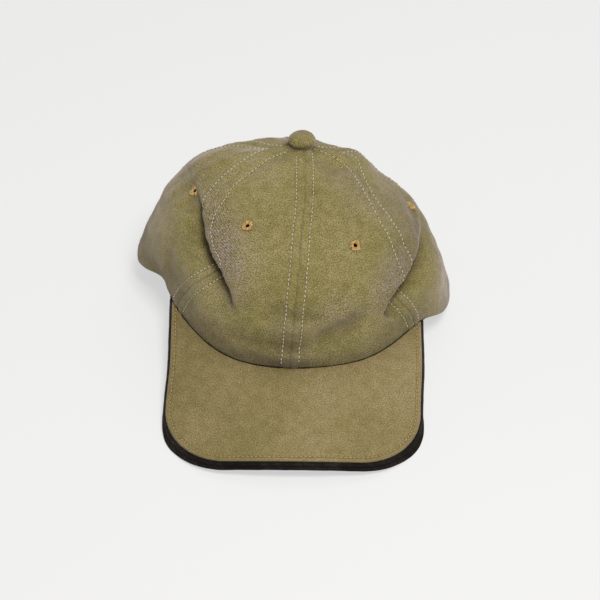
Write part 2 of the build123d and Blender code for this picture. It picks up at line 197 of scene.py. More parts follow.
# Each fold: its path as (angle, s, depth), the width of its open side, the width of its steep
# side, the height of the lip over the steep side, how far that lip leans over the hollow, and
# the side the lip is on, walking along the path outside the cap: 1 is left and -1 is right.
FOLDS = [
    (((-104, 0.57, 1.0), (-84, 0.585, 2.0), (-70, 0.58, 3.2), (-57, 0.55, 5.0), (-46, 0.49, 9.0),
      (-38, 0.42, 10.0), (-32, 0.35, 8.0), (-28, 0.27, 4.6), (-24, 0.17, 1.6)), 16, 4.2, 3.2, 10.0, 1),
    (((98, 0.37, 0.4), (84, 0.35, 2.0), (70, 0.325, 5.0), (57, 0.295, 8.5), (49, 0.265, 11.0),
      (43, 0.235, 10.0), (38.5, 0.185, 7.0), (35, 0.125, 3.5)), 13, 4.4, 3.4, 6.5, -1),
    (((-66, 0.36, 0.6), (-61, 0.24, 1.6), (-58, 0.12, 1.8), (-56, 0.03, 1.0)), 9, 5, 0.8, 0.5, -1),
    (((1, 0.06, 1.2), (17, 0.175, 3.4), (31, 0.225, 1.2)), 9, 4, 1.6, 1.6, 1),
    (((11, 0.08, 0.8), (21, 0.14, 2.4), (34, 0.19, 1.0)), 7, 4, 1.2, 1.2, 1),
    (((-16, 0.20, 0.5), (-2, 0.215, 3.0), (12, 0.20, 0.9)), 7, 4, 1.0, 0.8, -1),
    (((-30, 0.10, 0.8), (-14, 0.085, 2.4), (-1, 0.075, 4.0), (9, 0.07, 1.0)), 8, 4, 1.2, 1.0, -1),
    (((84, 0.79, 0.2), (70, 0.70, 0.5), (59, 0.59, 0.5), (54, 0.50, 0.2)), 10, 5.0, 3.0, 0.5, -1),
    (((-40, 0.60, 0.2), (-33, 0.46, 0.6), (-27, 0.34, 0.6), (-22, 0.20, 0.2)), 10, 5.0, 1.8, 0.5, 1),
    (((100, 0.50, 0.6), (84, 0.42, 2.4), (70, 0.36, 2.0), (60, 0.31, 0.8)), 12, 8, 1.6, 1.0, -1),
    (((-146, 0.52, 0.8), (-134, 0.42, 3.2), (-124, 0.28, 2.6), (-116, 0.14, 1.0)), 15, 8, 1.6, 1.5, -1),
    (((140, 0.56, 0.8), (130, 0.44, 3.4), (120, 0.30, 2.6), (112, 0.16, 1.2)), 14, 8, 1.8, 1.5, 1),
    (((150, 0.62, 0.6), (165, 0.55, 2.2), (188, 0.57, 2.0), (204, 0.64, 0.6)), 11, 8, 1.2, 0.8, 1),
]
FOLD_STEPS = 70


def fold_paths():
    """Each fold's points on the slumped crown, the way along and across it, and its sizes."""
    paths = []
    for path, open_width, steep_width, lip, lean, side in FOLDS:
        rows = np.array(path, float)
        t = np.linspace(0, len(rows) - 1, FOLD_STEPS)
        index = np.arange(len(rows))
        angle, s, depth = (curve(np.stack([index, rows[:, k]], 1), t) for k in range(3))
        p, _, _, normal = frame_at(slumped, angle, s)
        along = unit(np.gradient(p, axis=0))
        across = unit(np.cross(normal, along)) * side
        taper = smooth(t / 0.6) * smooth((t[-1] - t) / 0.6)
        paths.append((p, along, across, depth * taper, open_width, steep_width, lip, lean))
    return paths


PATHS = fold_paths()


def fold_reach(points):
    """For each fold, the points it reaches, their distance over its crease and its share there."""
    for path, along, across, depth, *sizes in PATHS:
        reach = 2.6 * sizes[0]
        near = np.where(((points > path.min(0) - reach) & (points < path.max(0) + reach)).all(1))[0]
        for chunk in np.array_split(near, max(1, len(near) // 20000)):
            away = points[chunk, None] - path[None]
            nearest = (away ** 2).sum(-1).argmin(1)
            offset = away[np.arange(len(chunk)), nearest]
            over = (offset * across[nearest]).sum(-1)
            past = (offset * along[nearest]).sum(-1)
            close = np.linalg.norm(offset, axis=1) < 3 * sizes[0]
            there = np.exp(-(past / (0.7 * sizes[0])) ** 2) * close
            share = depth[nearest] / depth.max() * there
            ridge = np.exp(-((over - 1.9 * sizes[1]) / (1.5 * sizes[1])) ** 2)
            yield chunk, over, share, ridge, across[nearest], depth.max(), sizes


def folded(angle, s):
    """The crown with its folds, before seams and stitches."""
    angle = np.asarray(angle, float) + np.zeros(np.shape(s))
    s = np.asarray(s, float) + np.zeros(angle.shape)
    p, _, _, normal = frame_at(slumped, angle, s)
    points = p.reshape(-1, 3)
    out = normal.reshape(-1, 3)
    push = np.zeros_like(points)
    for chunk, over, share, ridge, across, depth, sizes in fold_reach(points):
        open_width, steep_width, lip, lean = sizes
        hollow = np.exp(-(over / np.where(over < 0, open_width, steep_width)) ** 2)
        push[chunk] += out[chunk] * (share * (lip * ridge - depth * hollow))[:, None]
        push[chunk] -= across * (share * lean * ridge)[:, None]
    return p + push.reshape(p.shape)


def fold_painted_light(angle, s):
    """How much painted sheen each fold's ridge gets and how much painted shade its crease gets, from 0 to 1.
    """
    points = slumped(angle, s)
    shape = points.shape[:-1]
    points = points.reshape(-1, 3)
    ridge_sheen, dark = np.zeros(len(points)), np.zeros(len(points))
    for chunk, over, share, _, _, depth, (open_width, steep_width, lip, _) in fold_reach(points):
        # Painted sheen on the lip beside each fold.
        strength = min(1.0, (depth + lip) / 9) * share
        wide = np.exp(-((over - 2.4 * steep_width) / (2.2 * steep_width)) ** 2)
        ridge_sheen[chunk] = np.maximum(ridge_sheen[chunk], strength * wide)
        # Painted shade along each fold's crease, kept as the attribute dark.
        width = np.where(over < -1.0, 0.42 * open_width, 1.1 * steep_width)
        trough = np.exp(-((over + 1.0) / width) ** 2)
        dark[chunk] = np.maximum(dark[chunk], min(1.0, depth / 8) * share * trough)
    return ridge_sheen.reshape(shape), dark.reshape(shape)


# ------------------------------------------------------------------ seams and panels
# The angle of each seam against s; the front seams bow with the folds.
SEAMS = {
    "front": ((0, -2.4), (0.3, 0), (0.56, 3.2), (0.8, 10), (1, 14)),
    "front_left": ((0, 49.5), (0.12, 46), (0.2, 43.5), (0.3, 49), (0.42, 55), (0.5, 56.5), (0.6, 59),
                   (0.7, 68), (0.8, 84), (0.9, 97), (1, 102)),
    "back_left": ((0, 106), (0.4, 107), (0.7, 116), (0.9, 134), (1, 138)),
    "back": ((0, 180), (1, 180)),
    "back_right": ((0, -106), (0.5, -108), (0.9, -128), (1, -132)),
    "front_right": ((0, -50.5), (0.1, -47.5), (0.25, -41), (0.345, -36), (0.375, -32.5), (0.42, -33),
                    (0.49, -41), (0.59, -51), (0.66, -56), (0.75, -61), (0.84, -70), (0.93, -82), (1, -88)),
}
# panel node, the seam on its right-hand side and the seam on its left-hand side, as worn
PANELS = {
    "front_panel_right": ("front_right", "front"),
    "front_panel_left": ("front", "front_left"),
    "side_panel_left": ("front_left", "back_left"),
    "side_panel_right": ("back_right", "front_right"),
    "back_panel_left": ("back_left", "back"),
    "back_panel_right": ("back", "back_right"),
}
ROW_OFFSET = 5.7
STITCH_PITCH = 3.0
STITCH_LENGTH = 2.15
THREAD_RADIUS = 0.31
THREAD_LIFT = 0.34
HOLE_RADIUS = 0.27
HOLE_LIFT = 0.04


def seam_angle(name, s):
    """Angle of a seam at a rise s."""
    return curve(SEAMS[name], s)


def panel_angle(panel, u, s):
    """Angle at a share u of the way across a panel, from 0 to 1, at a rise s."""
    first, last = (seam_angle(name, s) for name in PANELS[panel])
    span = (last - first) % 360
    return first + u * span


def seam_relief(distance, s):
    """Height of the cloth near a seam: doubled turnings, a groove and dimples under the stitches."""
    padded = 0.55 * (1 - smooth((distance - 4.2) / 3.6))
    groove = 0.50 * np.exp(-(distance / 1.0) ** 2)
    row = 0.34 * np.exp(-((distance - ROW_OFFSET) / 0.8) ** 2)
    waves = np.sin(s * ARC_LENGTH * 2 * pi / (STITCH_PITCH * 1.9))
    pucker = 0.16 * waves * np.exp(-((distance - 2.6) / 2.4) ** 2)
    return padded - groove - row + pucker


def ripple(p):
    """Soft irregular waviness of washed cloth, in millimetres."""
    x, y, z = np.moveaxis(p, -1, 0)
    slow = np.sin(0.11 * x + 0.07 * z + 1.3 * np.sin(0.052 * y + 0.6)) * np.sin(0.09 * z - 0.06 * x + 0.8)
    middle = np.sin(0.23 * x - 0.17 * y + 1.7 * np.sin(0.11 * z)) * np.sin(0.19 * z + 0.21 * y + 2.0)
    fine = np.sin(0.61 * x + 0.33 * z + 1.9 * np.sin(0.29 * y)) * np.sin(0.47 * y - 0.55 * z + 1.1)
    return 0.9 * slow + 0.45 * middle + 0.12 * fine


def panel_share(panel, angle, s):
    """Share of the way across a panel, from 0 to 1, of an angle at a rise s."""
    first, last = (seam_angle(name, s) for name in PANELS[panel])
    return ((angle - first + 90) % 360 - 90) / ((last - first) % 360)


def panel_width(panel, s):
    """Rough width of a panel along the cloth at a rise s, in millimetres."""
    middle = panel_angle(panel, 0.5, s)
    first, last = (seam_angle(name, s) for name in PANELS[panel])
    return np.radians((last - first) % 360) * plan_radius(middle) * np.interp(s, ARC, NARROW)


def crown_cloth(panel, u, s, lift=0.0):
    """Point on a panel's outer face, or lifted off it, with the ways round, up and out there."""
    u, s = np.broadcast_arrays(np.asarray(u, float), np.asarray(s, float))
    p, around, up, normal = frame_at(folded, panel_angle(panel, u, s), s)
    distance = np.minimum(u, 1 - u) * panel_width(panel, s)
    calm = smooth(s / 0.05) * smooth((1 - s) / 0.08)
    relief = seam_relief(distance, s) * smooth((1 - s) / 0.04)
    height = relief + ripple(p) * (0.25 + 0.75 * calm) + lift
    return p + normal * height[..., None], around, up, normal


# ------------------------------------------------------------------ mesh helpers
def add_object(name, vertices, faces, material, uv=None):
    """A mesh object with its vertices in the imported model's frame."""
    mesh = bpy.data.meshes.new(name)
    mesh.from_pydata([tuple(v) for v in vertices], [], faces)
    if uv is not None:
        layer = mesh.uv_layers.new(name="cloth")
        loops = np.zeros(len(mesh.loops), dtype=np.int32)
        mesh.loops.foreach_get("vertex_index", loops)
        layer.data.foreach_set("uv", np.asarray(uv, float)[loops].ravel())
    mesh.materials.append(material)
    mesh.polygons.foreach_set("use_smooth", [True] * len(mesh.polygons))
    mesh.update()
    piece = bpy.data.objects.new(name, mesh)
    bpy.context.scene.collection.objects.link(piece)
    return piece


def grid_faces(rows, columns, closed_rows=False, closed_columns=False):
    """Quads of a grid of vertices, row by row."""
    faces = []
    for i in range(rows if closed_rows else rows - 1):
        for j in range(columns if closed_columns else columns - 1):
            i2, j2 = (i + 1) % rows, (j + 1) % columns
            faces.append((i * columns + j, i * columns + j2, i2 * columns + j2, i2 * columns + j))
    return faces


def add_sheet(name, points, uv, material, thickness, keep=None, outward=True):
    """A grid of points in the cap frame as a cloth with a thickness, laid inside its outer face."""
    rows, columns = points.shape[:2]
    faces = grid_faces(rows, columns)
    if keep is not None:
        faces = [f for f in faces if keep[f[0]] and keep[f[1]] and keep[f[2]] and keep[f[3]]]
    if not outward:
        faces = [f[::-1] for f in faces]
    piece = add_object(name, to_row(points).reshape(-1, 3), faces, material, uv.reshape(-1, 2))
    solid = piece.modifiers.new("thickness", "SOLIDIFY")
    solid.thickness = thickness * MM
    solid.offset = -1
    solid.use_even_offset = False
    return piece


def add_tube_rows(name, sections, material, closed=False):
    """A body through closed cross-sections, each a loop of points in the cap frame, capped."""
    sections = np.asarray(sections)
    rows, columns = sections.shape[:2]
    faces = grid_faces(rows, columns, closed_rows=closed, closed_columns=True)
    if not closed:
        faces.append(tuple(range(columns))[::-1])
        faces.append(tuple((rows - 1) * columns + j for j in range(columns)))
    steps = np.linalg.norm(np.diff(sections, axis=0), axis=-1).mean(1)
    along = np.concatenate([[0], np.cumsum(steps)])[:, None] + np.zeros(columns)
    around = np.linalg.norm(np.diff(sections, axis=1, append=sections[:, :1]), axis=-1).mean(0)
    around = np.concatenate([[0], np.cumsum(around)[:-1]])[None] + np.zeros((rows, 1))
    uv = np.stack([around, along], -1).reshape(-1, 2)
    return add_object(name, to_row(sections).reshape(-1, 3), faces, material, uv)


# rings along a thread, and sides round it
RINGS = 6
SIDES = 6


def add_threads(name, starts, ends, normals, material, radius, lift):
    """Short threads from start to end that rise out of the cloth and dive back into it."""
    starts, ends, normals = (np.asarray(v, float) for v in (starts, ends, normals))
    count = len(starts)
    along = unit(ends - starts)
    side = unit(np.cross(normals, along))
    t = np.linspace(0, 1, RINGS)
    swell = np.sqrt(np.clip(np.sin(pi * (0.06 + 0.88 * t)), 0, 1))
    centre = starts[:, None] + (ends - starts)[:, None] * t[None, :, None]
    centre = centre + normals[:, None] * (lift * (1.25 * np.sin(pi * t) - 0.25))[None, :, None]
    turn = 2 * pi * np.arange(SIDES) / SIDES
    ring = side[:, None, None] * np.cos(turn)[None, None, :, None]
    ring = ring + normals[:, None, None] * np.sin(turn)[None, None, :, None]
    points = centre[:, :, None] + ring * (radius * swell)[None, :, None, None]
    block = RINGS * SIDES
    single = grid_faces(RINGS, SIDES, closed_columns=True)
    single += [tuple(range(SIDES))[::-1], tuple((RINGS - 1) * SIDES + j for j in range(SIDES))]
    faces = [tuple(v + k * block for v in f) for k in range(count) for f in single]
    return add_object(name, to_row(points).reshape(-1, 3), faces, material)


def dress(piece, body, nodes=()):
    """The piece rides on a body and stands for CAD nodes, which are hidden."""
    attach(piece, body)
    if nodes:
        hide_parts(*nodes)
    return piece


# ------------------------------------------------------------------ materials
class Finish:
    """A node material being made: its shader, and short ways to add nodes before it."""

    def __init__(self, name):
        self.material = bpy.data.materials.new(name)
        self.material.use_nodes = True
        self.nodes = self.material.node_tree.nodes
        self.shader = self.nodes["Principled BSDF"]

    def feed(self, socket, value):
        """Give a socket a number or a colour, or join it to another socket."""
        if isinstance(value, bpy.types.NodeSocket):
            self.material.node_tree.links.new(value, socket)
        elif isinstance(value, tuple):
            socket.default_value = (*value, 1)
        else:
            socket.default_value = value

    def surface(self, values):
        """Set the shader's own sockets by name."""
        for name, value in values.items():
            self.feed(self.shader.inputs[name], value)

    def place(self, kind):
        """Coordinates of a kind, UV or Object."""
        return self.nodes.new("ShaderNodeTexCoord").outputs[kind]

    def noise(self, place, scale, detail=3.0, roughness=0.55):
        """A noise texture over a place."""
        node = self.nodes.new("ShaderNodeTexNoise")
        values = {"Vector": place, "Scale": scale, "Detail": detail, "Roughness": roughness}
        for name, value in values.items():
            self.feed(node.inputs[name], value)
        return node.outputs["Fac"]

    def ramp(self, value, *stops):
        """A colour ramp over a value; stops are (position, colour)."""
        node = self.nodes.new("ShaderNodeValToRGB")
        while len(node.color_ramp.elements) < len(stops):
            node.color_ramp.elements.new(0.5)
        for element, (position, colour) in zip(node.color_ramp.elements, stops):
            element.position = position
            element.color = (*colour, 1)
        self.feed(node.inputs["Fac"], value)
        return node.outputs["Color"]

    def math(self, operation, *values):
        """A math node over sockets or numbers."""
        node = self.nodes.new("ShaderNodeMath")
        node.operation = operation
        for socket, value in zip(node.inputs, values):
            self.feed(socket, value)
        return node.outputs[0]

    def mix(self, blend, factor, a, b):
        """A colour mix; the factor and the colours are sockets or values."""
        node = self.nodes.new("ShaderNodeMix")
        node.data_type = "RGBA"
        node.blend_type = blend
        for index, value in ((0, factor), (6, a), (7, b)):
            self.feed(node.inputs[index], value)
        return node.outputs[2]

    def relief(self, height, strength, distance):
        """Fine relief on the surface, from a height."""
        node = self.nodes.new("ShaderNodeBump")
        for name, value in {"Strength": strength, "Distance": distance, "Height": height}.items():
            self.feed(node.inputs[name], value)
        self.feed(self.shader.inputs["Normal"], node.outputs[0])


def grey(value):
    """A grey colour."""
    return value, value, value


# Tints of the painted sheen on fold ridges and of the painted shade in fold creases.
RIDGE_SHEEN_TINT = (0.84, 0.80, 1.36)
CREASE_SHADE_TINT = (0.42, 0.40, 0.46)
HOLLOW_REACH = 0.022
SLUB_DARK = 0.68
SLUB_LIGHT = 0.70
RIM_SHADE_HEIGHT = 45


def add_rim_shade(cloth, colour, height, mottle, foot):
    """Painted shade low on the crown: the colour darkens towards the rim, up to a height in millimetres."""
    share = cloth.math("MULTIPLY", height, 1 / RIM_SHADE_HEIGHT)
    rise = cloth.math("ADD", share, cloth.math("MULTIPLY", mottle, 0.6))
    return cloth.mix("MULTIPLY", 1.0, colour, cloth.ramp(rise, (0.28, grey(1 - foot)), (0.85, grey(1))))


def add_fold_painted_light(cloth, colour, blotch):
    """Painted sheen on the fold ridges and painted shade in the fold creases, which the crown's panels carry
    as attributes.
    """
    # Each attribute tints the colour: painted sheen on the ridges, painted shade in the creases.
    for mark, tint, strength in (("ridge_sheen", RIDGE_SHEEN_TINT, 0.95), ("dark", CREASE_SHADE_TINT, 1.0)):
        value = cloth.nodes.new("ShaderNodeAttribute")
        value.attribute_name = mark
        patchy = cloth.math("ADD", cloth.math("MULTIPLY", blotch, 0.9), 0.5)
        amount = cloth.math("MULTIPLY", value.outputs["Fac"], patchy)
        amount = cloth.math("MINIMUM", cloth.math("MULTIPLY", amount, strength), 1.0)
        colour = cloth.mix("MULTIPLY", amount, colour, tint)
    return colour


def add_hollow_shade(cloth, colour, shade):
    """Less light in the hollows, in full or by a share."""
    hollow = cloth.nodes.new("ShaderNodeAmbientOcclusion")
    hollow.samples = 6
    hollow.inputs["Distance"].default_value = HOLLOW_REACH
    deep, half = (tuple(1 - shade + part * shade for part in parts)
                  for parts in ((0.10, 0.08, 0.06), (0.62, 0.59, 0.57)))
    dim = cloth.ramp(hollow.outputs["AO"], (0.20, deep), (0.62, half), (0.95, grey(1)))
    return cloth.mix("MULTIPLY", 1.0, colour, dim)


def cloth_material(name, dark, light, worn, sheen, sheen_tint, pitch=0.80, wear=0.5, grain=1.0, shade=1.0,
                   foot=0.0):
    """Washed cotton twill: diagonal ribs, slubs, mottled dye and a soft brushed sheen, with painted shade in
    its hollows, creases and low on the crown, and painted sheen on its fold ridges.
    """
    cloth = Finish(name)
    uv = cloth.place("UV")
    split = cloth.nodes.new("ShaderNodeSeparateXYZ")
    cloth.feed(split.inputs[0], uv)
    wobble = cloth.math("MULTIPLY", cloth.noise(uv, 0.35, 2.0), 1.2)
    slant = cloth.math("ADD", cloth.math("ADD", split.outputs[0], split.outputs[1]), wobble)
    rib = cloth.math("SINE", cloth.math("MULTIPLY", slant, 2 * pi / (pitch * sqrt(2))))
    weave = cloth.math("MULTIPLY", rib, 0.5)
    slub = cloth.noise(uv, 1.1, 5.0, 0.8)
    blotch = cloth.noise(uv, 0.16, 3.0, 0.6)
    mottle = cloth.noise(cloth.place("Object"), 18.0, 4.0, 0.6)
    tone = cloth.math("ADD", cloth.math("MULTIPLY", mottle, 0.55), cloth.math("MULTIPLY", blotch, 0.45))
    colour = cloth.ramp(tone, (0.38, dark), (0.5, light), (0.62, worn))
    fleck = cloth.math("ADD", cloth.math("MULTIPLY", weave, 0.11 * grain), slub)
    low = 1 - SLUB_DARK * grain
    fleck = cloth.ramp(fleck, (0.38, (low, low, low * 0.97)), (0.5, grey(1)),
                       (0.62, grey(1 + SLUB_LIGHT * grain)))
    colour = cloth.mix("MULTIPLY", 1.0, colour, fleck)
    # foot sets how much painted shade the colour gets towards the rim.
    if foot:
        colour = add_rim_shade(cloth, colour, split.outputs[1], mottle, foot)
    # Painted sheen on fold ridges and painted shade in fold creases.
    colour = add_fold_painted_light(cloth, colour, blotch)
    pointed = cloth.nodes.new("ShaderNodeNewGeometry").outputs["Pointiness"]
    edge = cloth.ramp(pointed, (0.51, grey(0)), (0.60, grey(1)))
    colour = cloth.mix("MIX", cloth.math("MULTIPLY", edge, wear), colour, worn)
    cloth.feed(cloth.shader.inputs["Base Color"], add_hollow_shade(cloth, colour, shade))
    cloth.relief(cloth.math("ADD", cloth.math("MULTIPLY", weave, 0.6), slub), 0.5, 0.0003)
    cloth.surface({"Roughness": 0.92, "Specular IOR Level": 0.12, "Sheen Weight": sheen,
                   "Sheen Roughness": 0.42, "Sheen Tint": sheen_tint})
    return cloth.material


def thread_material(name, dark, light):
    """Twisted cotton thread."""
    thread = Finish(name)
    tone = thread.noise(thread.place("Object"), 900.0, 2.0)
    thread.surface({"Base Color": thread.ramp(tone, (0.35, dark), (0.65, light)), "Roughness": 0.7,
                    "Specular IOR Level": 0.25, "Sheen Weight": 0.3})
    return thread.material


def metal_material(name, base, dark, roughness):
    """Brushed metal with darker tarnish in random patches."""
    metal = Finish(name)
    place = metal.place("Object")
    stretch = metal.nodes.new("ShaderNodeMapping")
    stretch.inputs["Scale"].default_value = (300, 300, 4000)
    metal.feed(stretch.inputs["Vector"], place)
    brush = metal.noise(stretch.outputs[0], 1.0, 2.0)
    tarnish = metal.noise(place, 260.0, 4.0)
    rough = metal.math("ADD", metal.math("MULTIPLY", brush, 0.22), roughness)
    metal.surface({"Base Color": metal.ramp(tarnish, (0.38, dark), (0.6, base)), "Roughness": rough,
                   "Metallic": 1.0})
    metal.relief(brush, 0.15, 0.0001)
    return metal.material


def board_material():
    """Pale moulded sheet with a fine grain."""
    board = Finish("visor_board_plastic")
    tone = board.noise(board.place("Object"), 300.0, 3.0)
    grain = board.ramp(tone, (0.3, (0.62, 0.61, 0.57)), (0.7, (0.72, 0.71, 0.68)))
    board.surface({"Base Color": grain, "Roughness": 0.55})
    return board.material


MAUVE = (0.82, 0.70, 0.78)
CROWN_DYE = (0.205, 0.173, 0.060), (0.262, 0.221, 0.087), (0.315, 0.262, 0.126)
# foot=0.32 gives the crown painted shade towards its rim.
CROWN_CLOTH = cloth_material("crown_twill", *CROWN_DYE, 0.50, MAUVE, foot=0.32)
BUTTON_CLOTH = cloth_material("button_twill", *CROWN_DYE, 0.55, MAUVE, shade=0.6)
VISOR_CLOTH = cloth_material("visor_twill", (0.215, 0.176, 0.070), (0.260, 0.208, 0.088),
                             (0.305, 0.240, 0.120), 0.38, MAUVE, grain=0.75)
BLACK_CLOTH = cloth_material("black_twill", (0.006, 0.005, 0.005), (0.011, 0.009, 0.008),
                             (0.028, 0.022, 0.018), 0.35, (0.55, 0.42, 0.36), wear=0.35)
BAND_CLOTH = cloth_material("sweatband_twill", (0.010, 0.009, 0.009), (0.016, 0.014, 0.013),
                            (0.03, 0.026, 0.024), 0.3, (0.6, 0.55, 0.5), pitch=0.6, wear=0.2)
TAPE_CLOTH = cloth_material("tape_weave", (0.010, 0.009, 0.009), (0.018, 0.016, 0.015),
                            (0.032, 0.028, 0.026), 0.25, (0.6, 0.55, 0.5), pitch=0.5, wear=0.2)
CREAM_THREAD = thread_material("cream_thread", (0.50, 0.46, 0.32), (0.74, 0.69, 0.52))
TAN_THREAD = thread_material("tan_thread", (0.42, 0.27, 0.09), (0.66, 0.45, 0.17))
EYELET_THREAD = thread_material("eyelet_thread", (0.24, 0.13, 0.035), (0.74, 0.50, 0.17))
BLACK_THREAD = thread_material("black_thread", (0.02, 0.018, 0.016), (0.05, 0.045, 0.04))
SHADOW = thread_material("needle_hole_shade", (0.012, 0.010, 0.006), (0.02, 0.016, 0.01))
BRASS = metal_material("aged_brass", (0.56, 0.42, 0.20), (0.24, 0.16, 0.07), 0.28)
TIN = metal_material("plated_washer", (0.62, 0.61, 0.58), (0.36, 0.35, 0.33), 0.30)
BOARD = board_material()


# ------------------------------------------------------------------ rows of stitches
def along_path(points, pitch, length, start=0.0):
    """Fractional indices along a path where stitches of a length start and end, pitch apart."""
    run = run_along(points)
    begin = np.arange(start, run[-1] - length, pitch)
    index = np.arange(len(run))
    return np.interp(begin, run, index), np.interp(begin + length, run, index)


def pick(values, index):
    """Values of a path at fractional indices."""
    return np.stack([np.interp(index, np.arange(len(values)), values[:, k]) for k in range(3)], 1)


def stitch_row(points, normals, pitch=STITCH_PITCH, length=STITCH_LENGTH, start=0.0, sway=0.12):
    """Starts, ends and normals of a row of stitches along a path, each a little out of true."""
    begin, end = along_path(points, pitch, length, start)
    starts, ends, out = pick(points, begin), pick(points, end), unit(pick(normals, begin))
    side = unit(np.cross(out, ends - starts))
    starts = starts + side * random.normal(0, sway, (len(starts), 1))
    ends = ends + side * random.normal(0, sway, (len(ends), 1))
    return starts, ends, out


def add_stitches(name, rows, material, body, radius=THREAD_RADIUS, lift=THREAD_LIFT):
    """All the stitches of several rows as one piece."""
    starts, ends, normals = (np.concatenate(v) for v in zip(*rows))
    piece = add_threads(name, starts, ends, normals, material, radius, lift)
    return dress(piece, body)


def add_hole_shade(name, rows):
    """The needle holes between the stitches of several rows, as dark dents: real holes, drawn dark as
    painted shade in their dimples.
    """
    starts, ends, normals = (np.concatenate(v) for v in zip(*rows))
    gaps = ends + (ends - starts) * 0.08, ends + (ends - starts) * 0.30
    return dress(add_threads(name, *gaps, normals, SHADOW, HOLE_RADIUS, HOLE_LIFT), "crown")


# ------------------------------------------------------------------ crown
def visor_crest(x, offset):
    """Height of the visor's arched surface in its own sloping frame."""
    x = np.minimum(np.abs(x), VISOR_ARCH_REACH)
    return -VISOR_ARCH_RADIUS + np.sqrt((VISOR_ARCH_RADIUS + offset) ** 2 - x ** 2)


def visor_forward(y, crest):
    """Place along the sloping visor of a point on its surface, from its y."""
    return (y + FRONT_DEPTH + crest * sin(VISOR_SLOPE)) / cos(VISOR_SLOPE)


def visor_height(x, y, offset):
    """Height of the visor's surface over a point of the cap frame's plan."""
    crest = visor_crest(x, offset)
    return VISOR_ORIGIN[2] + visor_forward(y, crest) * sin(VISOR_SLOPE) + crest * cos(VISOR_SLOPE)


def rim_start(angle):
    """Rise where the cloth starts: under the visor's top in front, the arch's edge at the back."""
    p = plain_crown(angle, np.zeros_like(angle))
    front = (np.abs(p[..., 0]) < VISOR_HALF_WIDTH) & (p[..., 1] < 0)
    low = np.where(front, visor_height(p[..., 0], p[..., 1], COVER_OFFSET) - 1.2, 0.0)
    start = np.minimum(low, 0) / ARC_LENGTH
    inside = (np.abs(p[..., 0]) < ARCH_HALF_WIDTH) & (p[..., 1] > 0)
    x = np.where(inside, p[..., 0], 0)
    for _ in range(12):
        edge = ARCH_SPRING + np.sqrt(ARCH_HALF_WIDTH ** 2 - x ** 2)
        rise = np.interp(edge / CROWN_HEIGHT, RISE, ARC)
        reach = plan_radius(angle) * np.interp(rise, ARC, NARROW)
        across = np.clip(reach * np.sin(np.radians(angle)), -ARCH_HALF_WIDTH, ARCH_HALF_WIDTH)
        x = np.where(inside, across, 0)
    return np.where(inside, rise, start)


EYELETS = {
    "eyelet_front_right": ("front_panel_right", -27, 0.556),
    "eyelet_front_left": ("front_panel_left", 31, 0.469),
    "eyelet_side_right": ("side_panel_right", -71, 0.575),
    "eyelet_side_left": ("side_panel_left", 90, 0.431),
    "eyelet_back_right": ("back_panel_right", 220, 0.56),
    "eyelet_back_left": ("back_panel_left", 140, 0.56),
}
HOLE_CUT = 2.2
PANEL_ROWS = 170
PANEL_TOP = 0.985


def panel_columns():
    """Shares across a panel, close together by its seams."""
    edge = np.arange(0, 0.12, 0.0055)
    middle = np.linspace(0.12, 0.5, 36)
    half = np.concatenate([edge, middle])
    return np.concatenate([half, 1 - half[-2::-1]])


PANEL_U = panel_columns()


def panel_grid(panel):
    """Shares and rises of a panel's grid of points, from its foot to the button."""
    v = np.linspace(0, 1, PANEL_ROWS)[:, None]
    foot = rim_start(panel_angle(panel, PANEL_U, np.full_like(PANEL_U, 0.0)))
    for _ in range(3):
        foot = rim_start(panel_angle(panel, PANEL_U, foot))
    return np.broadcast_to(PANEL_U, (PANEL_ROWS, len(PANEL_U))), foot + (PANEL_TOP - foot) * v


def cloth_uv(u, s, panel):
    """Millimetres across and up a panel, along the straight grain of its cloth."""
    middle = float(panel_angle(panel, 0.5, np.array(0.15)))
    turned = np.radians(gap(panel_angle(panel, u, s), middle))
    return np.stack([turned * plan_radius(middle) * np.interp(s, ARC, NARROW), s * ARC_LENGTH], -1)


def add_panel(panel):
    """One panel of the crown, with its eyelet's hole cut out."""
    u, s = panel_grid(panel)
    points = crown_cloth(panel, u, s)[0]
    keep = np.ones(u.shape, bool)
    for home, angle, rise in EYELETS.values():
        if home == panel:
            centre = crown_cloth(panel, panel_share(panel, angle, rise), rise)[0]
            keep = np.linalg.norm(points - centre, axis=-1) > HOLE_CUT
    piece = add_sheet("cloth_" + panel, points, cloth_uv(u, s, panel), CROWN_CLOTH, CLOTH, keep.ravel())
    # The folds' painted sheen and painted shade, stored on the panel as attributes.
    for mark, values in zip(("ridge_sheen", "dark"), fold_painted_light(panel_angle(panel, u, s), s)):
        piece.data.attributes.new(mark, "FLOAT", "POINT").data.foreach_set("value", values.ravel())
    dress(piece, "crown", [panel])
    flat = plain_crown(panel_angle(panel, u, s), s)


for panel in PANELS:
    add_panel(panel)


def seam_rows():
    """Rows of topstitching on both sides of every seam of the crown."""
    rows = []
    for panel in PANELS:
        for side in (0, 1):
            s = np.linspace(0.004, 0.93, 700)
            share = ROW_OFFSET / panel_width(panel, s)
            s = s[share < 0.40]
            share = share[share < 0.40]
            u = share if side == 0 else 1 - share
            feet = rim_start(panel_angle(panel, u, s))
            u, s = u[s > feet + 0.004], s[s > feet + 0.004]
            points, _, _, normal = crown_cloth(panel, u, s)
            rows.append(stitch_row(points, normal, start=random.uniform(0, STITCH_PITCH)))
    return rows


crown_rows = seam_rows()
add_stitches("crown_topstitching", crown_rows, CREAM_THREAD, "crown")
add_hole_shade("crown_needle_holes", crown_rows)


